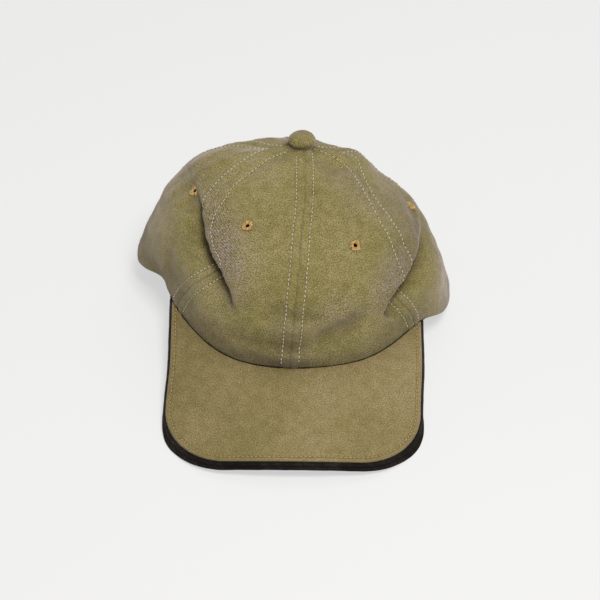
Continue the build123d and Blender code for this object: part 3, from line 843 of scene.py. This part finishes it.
def add_rim_shade_line():
    """A thin black cord where the crown's folded rim meets the visor: painted shade along the join."""
    angle = np.linspace(-56, 56, 500)
    sections = []
    turn = full_turn(8)
    for degree in angle:
        x, y = plain_crown(np.array([degree]), np.array([0.0]))[0, :2]
        s = min(visor_height(x, y, COVER_OFFSET), 0) / ARC_LENGTH
        p, _, up, normal = (v[0] for v in frame_at(folded, np.array([degree]), np.array([s])))
        centre = p + normal * 0.25 + up * 0.15
        height = 0.30 + 0.08 * sin(0.9 * degree)
        sections.append([centre + normal * 0.40 * cos(t) + up * height * sin(t) for t in turn])
    piece = add_tube_rows("rim_shade_line", sections, BLACK_CLOTH)
    dress(piece, "crown")


add_rim_shade_line()

# ------------------------------------------------------------------ eyelets
EYELET_INNER = 1.5
EYELET_OUTER = 4.15
EYELET_THREADS = 52
# radius and height over the cloth, round the padded ring
EYELET_SECTION = (
    (EYELET_INNER, -1.1), (EYELET_INNER - 0.1, 0.0), (EYELET_INNER + 0.35, 0.38), (2.6, 0.42),
    (EYELET_OUTER - 1.1, 0.22), (EYELET_OUTER - 0.6, -0.35), (EYELET_OUTER - 1.0, -1.3),
)


def add_eyelet(name, panel, angle, rise):
    """An embroidered eyelet: a padded ring under radial stitches of uneven length."""
    share = panel_share(panel, angle, rise)
    centre, around, up, normal = (v[0] for v in crown_cloth(panel, [share], [rise]))
    up = unit(np.cross(normal, around))
    turn = full_turn(48)
    spoke = around[None] * np.cos(turn)[:, None] + up[None] * np.sin(turn)[:, None]
    bend = curvature_drop(panel, angle, rise, centre, normal)
    loops = []
    for k, direction in enumerate(spoke):
        drop = bend[0] * cos(turn[k]) ** 2 + bend[1] * sin(turn[k]) ** 2
        loops.append([centre + direction * r + normal * (h - drop * r ** 2) for r, h in EYELET_SECTION])
    ring = add_tube_rows(name + "_ring", loops, EYELET_THREAD, closed=True)
    dress(ring, "crown", [name])
    turn = 2 * pi * (np.arange(EYELET_THREADS) + random.normal(0, 0.12, EYELET_THREADS)) / EYELET_THREADS
    spoke = around[None] * np.cos(turn)[:, None] + up[None] * np.sin(turn)[:, None]
    outer = EYELET_OUTER + random.normal(0, 0.42, EYELET_THREADS)
    inner = EYELET_INNER + random.normal(0.05, 0.08, EYELET_THREADS)
    drop = bend[0] * np.cos(turn) ** 2 + bend[1] * np.sin(turn) ** 2
    starts = centre + spoke * inner[:, None] + normal * 0.18
    ends = centre + spoke * outer[:, None] + normal * (0.12 - drop * outer ** 2)[:, None]
    # A black disc under the hole: painted shade, so that the hole looks dark.
    disc = [[centre + (around * cos(t) + up * sin(t)) * r - normal * 1.25 for t in full_turn(16)]
            for r in (2.4, 1.2, 0.05)]
    hole_shade_disc = add_tube_rows(name + "_backing", disc, BLACK_CLOTH)
    dress(hole_shade_disc, "crown")
    threads = add_threads(name + "_threads", starts, ends, np.repeat(normal[None], EYELET_THREADS, 0),
                          EYELET_THREAD, 0.24, 0.42)
    dress(threads, "crown")


def curvature_drop(panel, angle, rise, centre, normal):
    """How fast the cloth falls away from an eyelet's middle, round and up the crown."""
    step = 3.5
    width = panel_width(panel, rise)
    share = panel_share(panel, angle, rise)
    drops = []
    for du, ds in ((step / width, 0), (0, step / ARC_LENGTH)):
        sides = [crown_cloth(panel, [share + k * du], [rise + k * ds])[0][0] for k in (-1, 1)]
        drops.append(-np.mean([(side - centre) @ normal for side in sides]) / step ** 2)
    return drops


for name, (panel, angle, rise) in EYELETS.items():
    add_eyelet(name, panel, angle, rise)

# ------------------------------------------------------------------ button
BUTTON_RADIUS = 8.75
BUTTON_RISE = 6.0
BUTTON_LIFT = 1.1
# shares of the button's radius and rise, from its top down into the crown
BUTTON_PROFILE = ((0.0, 0.93), (0.16, 0.93), (0.34, 0.92), (0.52, 0.90), (0.70, 0.86), (0.84, 0.77),
                  (0.94, 0.62), (1.01, 0.43), (1.05, 0.24), (1.05, 0.08), (1.00, -0.08), (0.94, -0.22),
                  (0.90, -0.45), (0.86, -0.70), (0.70, -0.85))
# radius and height under the crown's top of the rivet and its washer
WASHER_PROFILE = ((1.4, 0.8), (1.5, -2.2), (1.6, -2.4), (6.3, -2.6), (6.5, -2.9), (6.4, -3.3), (2.2, -3.7),
                  (1.2, -3.6), (0.6, -3.1), (0.5, 0.8))


def add_button():
    """The cloth-covered button: a low dome with its cloth gathered under a rumpled edge."""
    apex = slumped(np.array([0.0]), np.array([1.0]))[0]
    turn = full_turn(96)
    waves = ((9, 0.22, 0.4), (14, 0.18, 2.1), (23, 0.10, 1.0))
    creases = sum(size * np.sin(count * turn + start) for count, size, start in waves)
    rings = []
    for share, height in BUTTON_PROFILE:
        lap = smooth((share - 0.45) / 0.5) * (1 if height > -0.05 else 0.6)
        radius = BUTTON_RADIUS * share * (1 + 0.045 * lap * creases)
        dip = 0.5 * lap * np.sin(5 * turn + 0.7) * 0.35 - 0.25 * lap * creases
        z = BUTTON_RISE * height + dip * (1 - max(height, 0)) + 0.18 * np.sin(3 * turn + 6 * share) * share
        rings.append(np.stack([radius * np.sin(turn), -radius * np.cos(turn), z + BUTTON_LIFT], -1) + apex)
    rings = np.array(rings)
    rings[0] = rings[0].mean(0)
    fine = np.linspace(0, len(rings) - 1, 49)
    low = np.clip(fine.astype(int), 0, len(rings) - 2)
    part = (fine - low)[:, None, None]
    rings = rings[low] * (1 - part) + rings[low + 1] * part
    faces = [f[::-1] for f in grid_faces(len(rings), rings.shape[1], closed_columns=True)]
    faces.append(tuple((len(rings) - 1) * rings.shape[1] + j for j in range(rings.shape[1])))
    uv = (rings - apex)[..., :2].reshape(-1, 2)
    piece = add_object("button_cloth", to_row(rings).reshape(-1, 3), faces, BUTTON_CLOTH, uv)
    dress(piece, "crown", ["button_cover", "button_core"])
    washer = []
    for radius, z in WASHER_PROFILE:
        washer.append(np.stack([radius * np.sin(turn), -radius * np.cos(turn), z + 0 * turn], -1) + apex)
    rivet = add_tube_rows("button_washer", washer, TIN)
    dress(rivet, "crown", ["button_rivet"])


add_button()


# ------------------------------------------------------------------ inside of the crown
def lining(angle, s, side_out, back_out):
    """A surface inside the crown that moves with it, set out by so much at the sides and back."""
    a = np.radians(angle)
    depth = np.where(np.cos(a) > 0, FRONT_DEPTH + side_out, BACK_DEPTH + back_out)
    plan = 1 / np.sqrt((np.sin(a) / (HALF_WIDTH + side_out)) ** 2 + (np.cos(a) / depth) ** 2)
    reach = plan * np.interp(s, ARC, NARROW)
    z = np.interp(s, ARC, RISE) * CROWN_HEIGHT
    plain = np.stack([reach * np.sin(a), -reach * np.cos(a), z + 0 * a], -1)
    return plain + folded(angle, s) - plain_crown(angle, s)


SWEATBAND_LIFT = 0.7
SWEATBAND_GAP = 0.4
POCKET_DEPTH = 7.8
BAND_ROWS = 22
BAND_COLUMNS = 420
STITCHED_ROW = 19


def add_sweatband():
    """The cloth band round the inside of the rim, open at the back arch."""
    end = 180 - degrees(atan2(ARCH_HALF_WIDTH + 3, BACK_DEPTH - POCKET_DEPTH)) - 3.5
    angle = np.linspace(-end, end, BAND_COLUMNS)[None]
    rise = np.linspace(SWEATBAND_LIFT, SWEATBAND_LIFT + SWEATBAND_HEIGHT, BAND_ROWS)[:, None] / ARC_LENGTH
    puff = 0.35 * np.sin(pi * np.linspace(0, 1, BAND_ROWS))[:, None]
    points = lining(angle + 0 * rise, rise + 0 * angle, -CLOTH - SWEATBAND_GAP, -POCKET_DEPTH)
    middle = points.mean((0, 1)) * [1, 1, 0] + [0, 0, 15]
    points = points + unit(middle - points) * puff[..., None]
    length = np.linalg.norm(np.diff(points, axis=1), axis=-1).mean(0).sum()
    uv = np.stack(np.broadcast_arrays(np.linspace(0, length, BAND_COLUMNS)[None], rise * ARC_LENGTH), -1)
    piece = add_sheet("sweatband_cloth", points, uv, BAND_CLOTH, 1.2)
    dress(piece, "crown", ["sweatband"])
    inner = points[STITCHED_ROW] - unit(points[STITCHED_ROW] - middle) * 1.25
    outward = unit(middle - inner)
    add_stitches("sweatband_stitching", [stitch_row(inner, outward)], BLACK_THREAD, "crown")


add_sweatband()
TAPE_WIDTH = 12.0
TAPE_HALF = np.linspace(-TAPE_WIDTH / 2, TAPE_WIDTH / 2, 13)


def add_tape(name, seam):
    """Woven tape over the turnings of one seam, on the crown's inner face."""
    low = 0.37 if seam == "back" else 0.195
    s = np.linspace(low, 0.90, 110)[:, None]
    per_degree = np.radians(1) * plan_radius(seam_angle(seam, s)) * np.interp(s, ARC, NARROW)
    angle = seam_angle(seam, s) + TAPE_HALF[None] / per_degree
    p, _, _, normal = frame_at(folded, angle, s + 0 * angle)
    puff = 0.25 * (1 - (TAPE_HALF / TAPE_WIDTH * 2) ** 2)[None]
    depth = CLOTH + 0.9 + puff - np.clip(ripple(p), -1, 0)
    points = p - normal * depth[..., None]
    uv = np.stack(np.broadcast_arrays(TAPE_HALF[None], s * ARC_LENGTH), -1)
    piece = add_sheet(name + "_woven", points, uv, TAPE_CLOTH, 0.6, outward=False)
    dress(piece, "crown", [name])


TAPES = {
    "seam_tape_front": "front",
    "seam_tape_front_left": "front_left",
    "seam_tape_back_left": "back_left",
    "seam_tape_back": "back",
    "seam_tape_back_right": "back_right",
    "seam_tape_front_right": "front_right",
}
for name, seam in TAPES.items():
    add_tape(name, seam)

# ------------------------------------------------------------------ back arch and its binding
BINDING_WIDTH = 6.0
# distance in from the arch's edge and height over the cloth, round the folded binding
BINDING_SECTION = (
    (BINDING_WIDTH, -0.3), (BINDING_WIDTH + 0.1, 0.35), (BINDING_WIDTH - 0.5, 0.62), (3.4, 0.72),
    (1.2, 0.78), (0.2, 0.6), (-0.55, 0.1), (-0.75, -0.5), (-0.55, -1.1), (0.2, -1.6), (1.2, -1.75),
    (3.4, -1.7), (BINDING_WIDTH - 0.5, -1.6), (BINDING_WIDTH + 0.1, -1.3), (BINDING_WIDTH, -0.7),
)


def back_depth(x, z):
    """Depth of the crown's plain back at a distance across and a height."""
    narrow = np.interp(z / CROWN_HEIGHT, RISE, NARROW)
    return BACK_DEPTH * np.sqrt(narrow ** 2 - (x / HALF_WIDTH) ** 2)


def arch_path():
    """Angles and rises along the arch's edge, from the wearer's right rim over to the left."""
    side = np.linspace(0.3, ARCH_SPRING, 8)
    turn = np.linspace(0, pi, 90)[1:-1]
    post = np.full(8, ARCH_HALF_WIDTH)
    x = np.concatenate([-post, -ARCH_HALF_WIDTH * np.cos(turn), post])
    z = np.concatenate([side, ARCH_SPRING + ARCH_HALF_WIDTH * np.sin(turn), side[::-1]])
    return np.degrees(np.arctan2(x, -back_depth(x, z))) % 360, np.interp(z / CROWN_HEIGHT, RISE, ARC)


def add_binding():
    """Folded cloth over the arch's raw edge, with a row of stitches along it."""
    angle, s = arch_path()
    p, normal = np.zeros((len(angle), 3)), np.zeros((len(angle), 3))
    for panel, here in (("back_panel_left", angle < 180), ("back_panel_right", angle >= 180)):
        share = panel_share(panel, angle[here], s[here])
        p[here], _, _, normal[here] = crown_cloth(panel, share, s[here])
    along = unit(np.gradient(p, axis=0))
    away = unit(np.cross(along, normal))
    away = away * np.sign((away * (p - p.mean(0))).sum(1).mean())
    loops = [[p[i] + away[i] * b + normal[i] * h for b, h in BINDING_SECTION] for i in range(len(p))]
    piece = add_tube_rows("arch_binding_cloth", np.array(loops)[:, ::-1], BLACK_CLOTH)
    dress(piece, "crown", ["arch_binding"])
    row = p + away * 4.6 + normal * 0.66
    add_stitches("arch_stitching", [stitch_row(row, normal)], CREAM_THREAD, "crown", 0.2)


add_binding()


# ------------------------------------------------------------------ visor
CORNER_X = VISOR_HALF_WIDTH - VISOR_CORNER_RADIUS
CORNER_Y = sqrt((VISOR_FRONT_RADIUS - VISOR_CORNER_RADIUS) ** 2 - CORNER_X ** 2)
CORNER_TURN = atan2(CORNER_X, CORNER_Y)
FRONT_CENTRE_Y = VISOR_FRONT_RADIUS - VISOR_LENGTH
CORNER_CENTRE_Y = FRONT_CENTRE_Y - CORNER_Y
VISOR_SWAY = 2.0
VISOR_SKEW = 0.012


def on_visor(x, y, offset):
    """Point over a place in the visor's outline plane, and the way out of the cloth there."""
    x, y, offset = (np.asarray(v, float) for v in np.broadcast_arrays(x, y, offset))
    z = visor_crest(x, offset)
    forward = smooth((20 - y) / 45)
    y = y - VISOR_SKEW * x * forward
    point = np.stack([x - VISOR_SWAY * forward, y * cos(VISOR_SLOPE) - z * sin(VISOR_SLOPE),
                      y * sin(VISOR_SLOPE) + z * cos(VISOR_SLOPE)], -1) + VISOR_ORIGIN
    lean = x / (VISOR_ARCH_RADIUS + offset)
    rise = np.sqrt(1 - lean ** 2)
    return point, np.stack([lean, -rise * sin(VISOR_SLOPE), rise * cos(VISOR_SLOPE)], -1)


def inside_visor(x, y):
    """Distance of a place from the visor's outline, positive inside it."""
    x = np.abs(x)
    corner = VISOR_CORNER_RADIUS - np.hypot(x - CORNER_X, y - CORNER_CENTRE_Y)
    front = VISOR_FRONT_RADIUS - np.hypot(x, y - FRONT_CENTRE_Y)
    in_corner = (y < CORNER_CENTRE_Y) & (np.arctan2(x - CORNER_X, CORNER_CENTRE_Y - y) > CORNER_TURN)
    beside = np.where(y < CORNER_CENTRE_Y, front, np.minimum(VISOR_HALF_WIDTH - x, front))
    return np.where(in_corner, corner, beside)


def visor_front(x):
    """The outline's front edge at a distance x from the middle."""
    turn_x = VISOR_FRONT_RADIUS * sin(CORNER_TURN)
    x = np.abs(x)
    front = FRONT_CENTRE_Y - np.sqrt(VISOR_FRONT_RADIUS ** 2 - np.minimum(x, turn_x) ** 2)
    across = np.clip(x - CORNER_X, 0, VISOR_CORNER_RADIUS)
    corner = CORNER_CENTRE_Y - np.sqrt(VISOR_CORNER_RADIUS ** 2 - across ** 2)
    return np.where(x < turn_x, front, corner)


def visor_back(x):
    """Where the visor's cloth ends under the crown, in the outline plane."""
    angle = np.linspace(-78, 78, 500)
    rim = slumped(angle, np.zeros_like(angle))
    y = np.interp(x, rim[:, 0], rim[:, 1]) + 2.5
    return visor_forward(y, visor_crest(np.asarray(x, float), COVER_OFFSET))


def outline_path(inset):
    """The outline moved in by inset, from the wearer's left side round the front to the right."""
    radius = VISOR_CORNER_RADIUS - inset
    side_x = VISOR_HALF_WIDTH - inset
    side = np.linspace(visor_back(side_x), CORNER_CENTRE_Y, 40)[:-1]
    turn = np.linspace(pi / 2, CORNER_TURN, 60)
    front = np.linspace(CORNER_TURN, -CORNER_TURN, 90)[1:-1]
    side_right = np.linspace(CORNER_CENTRE_Y, visor_back(-side_x), 40)[1:]
    long_radius = VISOR_FRONT_RADIUS - inset
    x = np.concatenate([side_x + 0 * side, CORNER_X + radius * np.sin(turn), long_radius * np.sin(front),
                        -CORNER_X - radius * np.sin(turn[::-1]), -side_x + 0 * side_right])
    corner_y = CORNER_CENTRE_Y - radius * np.cos(turn)
    front_y = FRONT_CENTRE_Y - long_radius * np.cos(front)
    y = np.concatenate([side, corner_y, front_y, corner_y[::-1], side_right])
    return x, y


def resampled(points, step):
    """A path of points at an even step."""
    run = run_along(points)
    even = np.linspace(0, run[-1], int(run[-1] / step) + 1)
    return np.stack([np.interp(even, run, points[:, k]) for k in range(points.shape[1])], 1)


VISOR_ROW_INSET = 3.1
FACE_OFFSET = COVER_OFFSET + 0.1
BOARD_SHARE = 0.965
BOARD_SETBACK = 3.0


def visor_puff(x, y):
    """Height of the visor's cloth over its smooth form: a rolled edge, a stitched groove, soft waves."""
    inside = inside_visor(x, y)
    roll = np.clip(1 - inside / 1.3, 0, 1)
    edge = -1.15 * (1 - np.sqrt(1 - 0.98 * roll ** 2))
    bead = 0.30 * np.exp(-((inside - 1.7) / 1.0) ** 2)
    groove = -0.28 * np.exp(-((inside - VISOR_ROW_INSET) / 0.7) ** 2)
    wave = 0.20 * np.sin(0.075 * x + 0.9 * np.sin(0.05 * y)) * np.sin(0.09 * y + 0.02 * x + 1.0)
    ruck = 0.07 * np.sin(0.33 * x + 1.1 * np.sin(0.2 * y)) * np.sin(0.29 * y - 0.12 * x)
    behind = np.clip(visor_back(x) - y, 0, 60)
    pucker = 0.16 * np.sin(0.55 * x + 0.8 * np.sin(0.13 * x)) * np.exp(-behind / 6)
    return edge + bead + groove + (wave + ruck + pucker) * smooth(inside / 8)


def visor_grid(columns=190, rows=130):
    """Places across the visor, close together by its edges."""
    turn = np.linspace(-pi / 2, pi / 2, columns)
    x = VISOR_HALF_WIDTH * np.sin(turn) * 0.99999
    v = np.linspace(0, 1, rows)[:, None]
    v = np.where(v < 0.72, v / 0.72 * 0.88, 0.88 + (v - 0.72) / 0.28 * 0.12)
    front, back = visor_front(x), visor_back(x)
    return np.broadcast_to(x, (rows, columns)), back + (front - back) * v


def declare_visor(points):
    """Width and length of a visor cover's grid and its steps either way, worked out and not kept."""
    width = np.linalg.norm(np.diff(points, axis=1), axis=-1).sum(1).max()
    length = np.linalg.norm(np.diff(points, axis=0), axis=-1).sum(0).max()
    first = np.diff(points, axis=1)[:-1]
    second = np.diff(points, axis=0)[:, :-1]


def add_visor_layers():
    """The board between the top and under covers."""
    x, y = visor_grid()
    uv = np.stack([x, y], -1)
    points = on_visor(x, y, FACE_OFFSET + visor_puff(x, y))[0]
    board = on_visor(x * BOARD_SHARE, np.minimum(y + BOARD_SETBACK, y * BOARD_SHARE), 1.0)[0]
    stiff = add_sheet("visor_board_sheet", board, uv, BOARD, 2.0, outward=False)
    dress(stiff, "crown", ["visor_board"])
    top = add_sheet("visor_top_cloth", points, uv, VISOR_CLOTH, 0.9, outward=False)
    dress(top, "crown", ["visor_top_cover"])
    declare_visor(points)
    under = on_visor(x * 1.006, y - 0.4, -FACE_OFFSET - 0.4 * visor_puff(x, y))[0]
    below = add_sheet("visor_under_cloth", under, uv, BLACK_CLOTH, 0.9)
    dress(below, "crown", ["visor_under_cover"])
    declare_visor(under)


def add_bead(name, path, out, reach, top, foot, squareness, nodes):
    """A rounded black edge along the visor's outline, between two heights, standing out by a reach."""
    turn = np.linspace(0, pi, 17)
    tail = [-3.0, -1.2]
    middle, half = (top + foot) / 2, (top - foot) / 2
    section_r = np.concatenate([tail, np.sin(turn) ** squareness, tail[::-1]])
    upper, lower = [middle + 0.5 * half] * 2, [middle - 0.5 * half] * 2
    section_h = np.concatenate([upper, middle + half * np.cos(turn), lower])
    loops = []
    for i, place in enumerate(path):
        sway = 0.03 * sin(0.9 * i) + 0.05 * sin(0.37 * i + 1.0)
        r = np.where(section_r > 0, section_r * (reach[i] + sway), section_r)
        spot = place[None] + out[i][None] * r[:, None]
        loops.append(on_visor(spot[:, 0], spot[:, 1], section_h)[0])
    dress(add_tube_rows(name, loops, BLACK_CLOTH), "crown", nodes)


def add_visor_edge():
    """The sandwich edge: a rounded lip and the under cover's fold below it, deeper in front."""
    edge_x, edge_y = outline_path(0.0)
    path = resampled(np.stack([edge_x, edge_y], 1), 1.2)
    ahead = unit(np.gradient(path, axis=0))
    out = np.stack([-ahead[:, 1], ahead[:, 0]], 1)
    out = out * np.sign((out * (path - [0, 40])).sum(1).mean())
    frontward = np.clip(-out[:, 1], 0, 1)
    corner = 4 * frontward * (1 - frontward)
    front = smooth(frontward / 0.6)
    add_bead("visor_edge_cloth", path, out, 1.5 + 1.2 * front, 1.05, -0.65, 0.9, ["visor_sandwich"])
    add_bead("visor_edge_fold", path, out, 1.9 + 3.1 * front + 0.6 * corner, -0.25, -2.0, 0.7, [])


def add_visor_stitching():
    """The row of stitches along the visor's edge, above and below."""
    row_x, row_y = outline_path(VISOR_ROW_INSET)
    row = resampled(np.stack([row_x, row_y], 1), 0.5)
    points, normal = on_visor(row[:, 0], row[:, 1], FACE_OFFSET + visor_puff(row[:, 0], row[:, 1]))
    stitches = [stitch_row(points, normal, 2.9, 2.2, 1.0, 0.05)]
    add_stitches("visor_stitching", stitches, TAN_THREAD, "crown", 0.32, 0.40)
    add_hole_shade("visor_needle_holes", stitches)
    points, normal = on_visor(row[:, 0], row[:, 1], -FACE_OFFSET)
    stitches = [stitch_row(points, -normal, 2.9, 2.2, 1.0, 0.05)]
    add_stitches("visor_under_stitching", stitches, BLACK_THREAD, "crown", 0.22, 0.30)


add_visor_layers()
add_visor_edge()
add_visor_stitching()


# ------------------------------------------------------------------ strap, tab and buckle
def on_strap(x, z, out):
    """Point at a place along the strap's arc, at a height, out from its outer face."""
    turn = np.arcsin(np.asarray(x, float) / STRAP_RADIUS)
    reach = STRAP_RADIUS + out
    return np.stack(np.broadcast_arrays(reach * np.sin(turn), STRAP_CENTRE_Y + reach * np.cos(turn), z), -1)


def tail_ease(x):
    """How far the strap's tail bends inward, clear of the panel that it slides behind."""
    return 0.55 * smooth((x - STRAP_TAIL + 14) / 14)


def add_strap():
    """The free strap: folded cloth with stitched edges and a rounded, turned-in end."""
    x = np.linspace(-STRAP_REACH, STRAP_TAIL, 150)
    x = np.concatenate([[x[0]], x[0] + np.array([0.2, 0.5]), x[2:-2], x[-1] - np.array([0.5, 0.2]), [x[-1]]])
    half = STRAP_WIDTH / 2
    thick = STRAP_THICKNESS
    turn = np.linspace(0, pi, 7)
    upper = [(half - thick / 2 + thick / 2 * sin(t), -thick / 2 + thick / 2 * cos(t)) for t in turn]
    face = [(h, -thick) for h in np.linspace(half - thick, -half + thick, 12)]
    lower = [(-half + thick / 2 - thick / 2 * sin(t), -thick / 2 - thick / 2 * cos(t)) for t in turn]
    front = [(h, 0.0) for h in np.linspace(-half + thick, half - thick, 12)]
    section = np.array(upper + face + lower + front)
    sway = 0.10 * np.sin(0.35 * x) + 0.08 * np.sin(0.9 * x + 1)
    tail = np.sqrt(np.clip(1 - np.clip((x - STRAP_TAIL + 4) / 4, 0, 1) ** 2 * 0.35, 0, 1))
    head = np.sqrt(np.clip(1 - np.clip((-STRAP_REACH + 4 - x) / 4, 0, 1) ** 2 * 0.35, 0, 1))
    loops = []
    for i, place in enumerate(x):
        height = section[:, 0] * tail[i] * head[i]
        pinch = np.where(np.abs(section[:, 0]) > half - 3, 0.0, 1.0)
        swell = (0.12 + 0.05 * sway[i]) * pinch * np.where(section[:, 1] > -0.1, 1, -1)
        out = section[:, 1] + swell - 0.12 - tail_ease(place)
        loops.append(on_strap(place, STRAP_CENTRE_HEIGHT + height, out))
    piece = add_tube_rows("strap_cloth", np.array(loops)[:, ::-1], BLACK_CLOTH)
    dress(piece, "strap", ["adjuster_strap"])
    rows = []
    for height in (-half + 2.2, half - 2.2):
        along = np.linspace(-STRAP_REACH + 2, STRAP_TAIL - 2, 400)
        path = on_strap(along, STRAP_CENTRE_HEIGHT + height, -0.08 - tail_ease(along))
        outward = unit(path - [0, STRAP_CENTRE_Y, STRAP_CENTRE_HEIGHT + height])
        rows.append(stitch_row(path, outward, 2.8, 2.0, 0, 0.04))
    add_stitches("strap_stitching", rows, CREAM_THREAD, "strap", 0.19, 0.24)


add_strap()
TAB_START = 34.3
TAB_END = 58.2
TAB_HEIGHT = 13.0
TAB_BAR_X = 35.9
TAB_BOX = ((46.5, -4.6), (56.3, -4.6), (56.3, 4.6), (46.5, 4.6))
TAB_BOX_LINES = ((0, 1), (1, 2), (2, 3), (3, 0), (0, 2), (1, 3))


def on_back(x, z, out):
    """Point on the crown's plain back at a distance across and a height, set out from the cloth."""
    y = back_depth(x, z)
    normal = unit(np.stack([x / HALF_WIDTH ** 2, y / BACK_DEPTH ** 2, 0 * y], -1))
    return np.stack(np.broadcast_arrays(x, y, z), -1) + normal * np.asarray(out)[..., None], normal


def add_tab():
    """The cloth tab that loops round the buckle's bar and is sewn down beside the arch."""
    stations = np.linspace(0, pi / 2, 9)
    nose = TAB_BAR_X - 1.7 * np.cos(stations)
    x = np.concatenate([nose, np.linspace(TAB_BAR_X, TAB_END, 34)[1:]])
    nosing = np.concatenate([np.sqrt(np.clip(np.sin(stations), 0.02, 1)), np.ones(33)])
    outer = np.interp(x, [TAB_START, TAB_BAR_X, 41, 46, TAB_END], [0.0, 1.75, 1.5, 1.85, 1.75]) * nosing
    inner = np.interp(x, [TAB_START, TAB_BAR_X, 41, 43.4, 44.6, TAB_END], [0.0, -1.5, -1.0, 0.2, 0.85, 0.85])
    inner = inner * nosing
    across = np.linspace(-1, 1, 15)
    loops = []
    for i, place in enumerate(x):
        end_round = sqrt(max(1 - 0.25 * max((place - TAB_END + 2) / 2, 0) ** 2, 0))
        height = STRAP_CENTRE_HEIGHT + across * TAB_HEIGHT / 2 * end_round
        soft = 1 - np.abs(across) ** 8
        face = inner[i] + (outer[i] - inner[i]) * (0.75 + 0.25 * soft)
        front = on_back(np.full(15, place), height, face)[0]
        back = on_back(np.full(15, place), height[::-1], np.full(15, inner[i]))[0]
        loops.append(np.concatenate([front, back]))
    piece = add_tube_rows("tab_cloth", loops, BLACK_CLOTH)
    dress(piece, "crown", ["buckle_tab"])
    rows = []
    for a, b in TAB_BOX_LINES:
        line = np.linspace(TAB_BOX[a], TAB_BOX[b], 40)
        points, normal = on_back(line[:, 0], STRAP_CENTRE_HEIGHT + line[:, 1], np.full(40, 1.83))
        rows.append(stitch_row(points, normal, 2.0, 1.5, 0.1, 0.03))
    add_stitches("tab_box_stitching", rows, CREAM_THREAD, "crown", 0.19, 0.24)


add_tab()
EDGE_ROUNDING = 0.25

for name in ("buckle_frame", "buckle_pin", "buckle_lever"):
    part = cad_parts[name]
    for slot in part.material_slots:
        slot.material = BRASS
    rounding = part.modifiers.new("rounded edges", "BEVEL")
    rounding.width = EDGE_ROUNDING * MM
    rounding.segments = 3
    rounding.limit_method = "ANGLE"

# ------------------------------------------------------------------ stage, light and camera
FLOOR_SHADE = 0.30
FLOOR_GLOW = 0.58
FLOOR_SIZE = 6.0
FLOOR_HEIGHT = -0.0006
WORLD_GLOW = 0.20


def stage_material():
    """A pale matt floor, lit a little from within so that shadows stay soft."""
    floor = Finish("pale_floor")
    floor.surface({"Base Color": grey(FLOOR_SHADE), "Roughness": 1.0, "Specular IOR Level": 0.0,
                   "Emission Color": grey(1.0), "Emission Strength": FLOOR_GLOW})
    return floor.material


def add_floor():
    """A wide square floor, just under the lowest cloth."""
    signs = ((-1, -1), (1, -1), (1, 1), (-1, 1))
    corners = [(x * FLOOR_SIZE, y * FLOOR_SIZE, FLOOR_HEIGHT) for x, y in signs]
    mesh = bpy.data.meshes.new("floor")
    mesh.from_pydata(corners, [], [(0, 1, 2, 3)])
    mesh.materials.append(stage_material())
    floor = bpy.data.objects.new("floor", mesh)
    bpy.context.scene.collection.objects.link(floor)


def add_light(name, place, target, size, power, colour):
    """A square soft light aimed at a target."""
    light = bpy.data.lights.new(name, "AREA")
    light.size = size
    light.energy = power
    light.color = colour
    lamp = bpy.data.objects.new(name, light)
    lamp.location = place
    lamp.rotation_euler = (Vector(target) - Vector(place)).to_track_quat("-Z", "Y").to_euler()
    bpy.context.scene.collection.objects.link(lamp)


add_floor()
MIDDLE = (0.0, 0.02, 0.06)
add_light("key_softbox", (0.36, -0.80, 1.80), MIDDLE, 0.6, 31.5, (1.0, 0.985, 0.96))
add_light("back_softbox", (0.5, 0.9, 1.5), MIDDLE, 1.0, 4, (0.97, 0.985, 1.0))
add_light("side_fill", (-1.5, 0.1, 0.7), MIDDLE, 1.0, 1.5, (1.0, 1.0, 1.0))

scene = bpy.context.scene
world = bpy.data.worlds.new("studio")
world.use_nodes = True
sky = world.node_tree.nodes["Background"].inputs
sky["Color"].default_value = (1, 1, 1, 1)
sky["Strength"].default_value = WORLD_GLOW
scene.world = world
scene.view_settings.view_transform = "Standard"

CAMERA_RISE = radians(43.8)
CAMERA_DISTANCE = 1.570
RIM_FRONT = Vector((0.0, -0.0476, 0.0315))
IMAGE_UP = 0.0434
IMAGE_RIGHT = 0.0026
LENS = 143.4
SENSOR_WIDTH = 36
camera_data = bpy.data.cameras.new("camera")
camera_data.lens = LENS
camera_data.sensor_width = SENSOR_WIDTH
camera = bpy.data.objects.new("camera", camera_data)
outward = Vector((0, -cos(CAMERA_RISE), sin(CAMERA_RISE)))
image_up = Vector((0, sin(CAMERA_RISE), cos(CAMERA_RISE)))
camera.location = RIM_FRONT + outward * CAMERA_DISTANCE + image_up * IMAGE_UP + Vector((IMAGE_RIGHT, 0, 0))
camera.rotation_euler = (-outward).to_track_quat("-Z", "Y").to_euler()
scene.collection.objects.link(camera)
scene.camera = camera
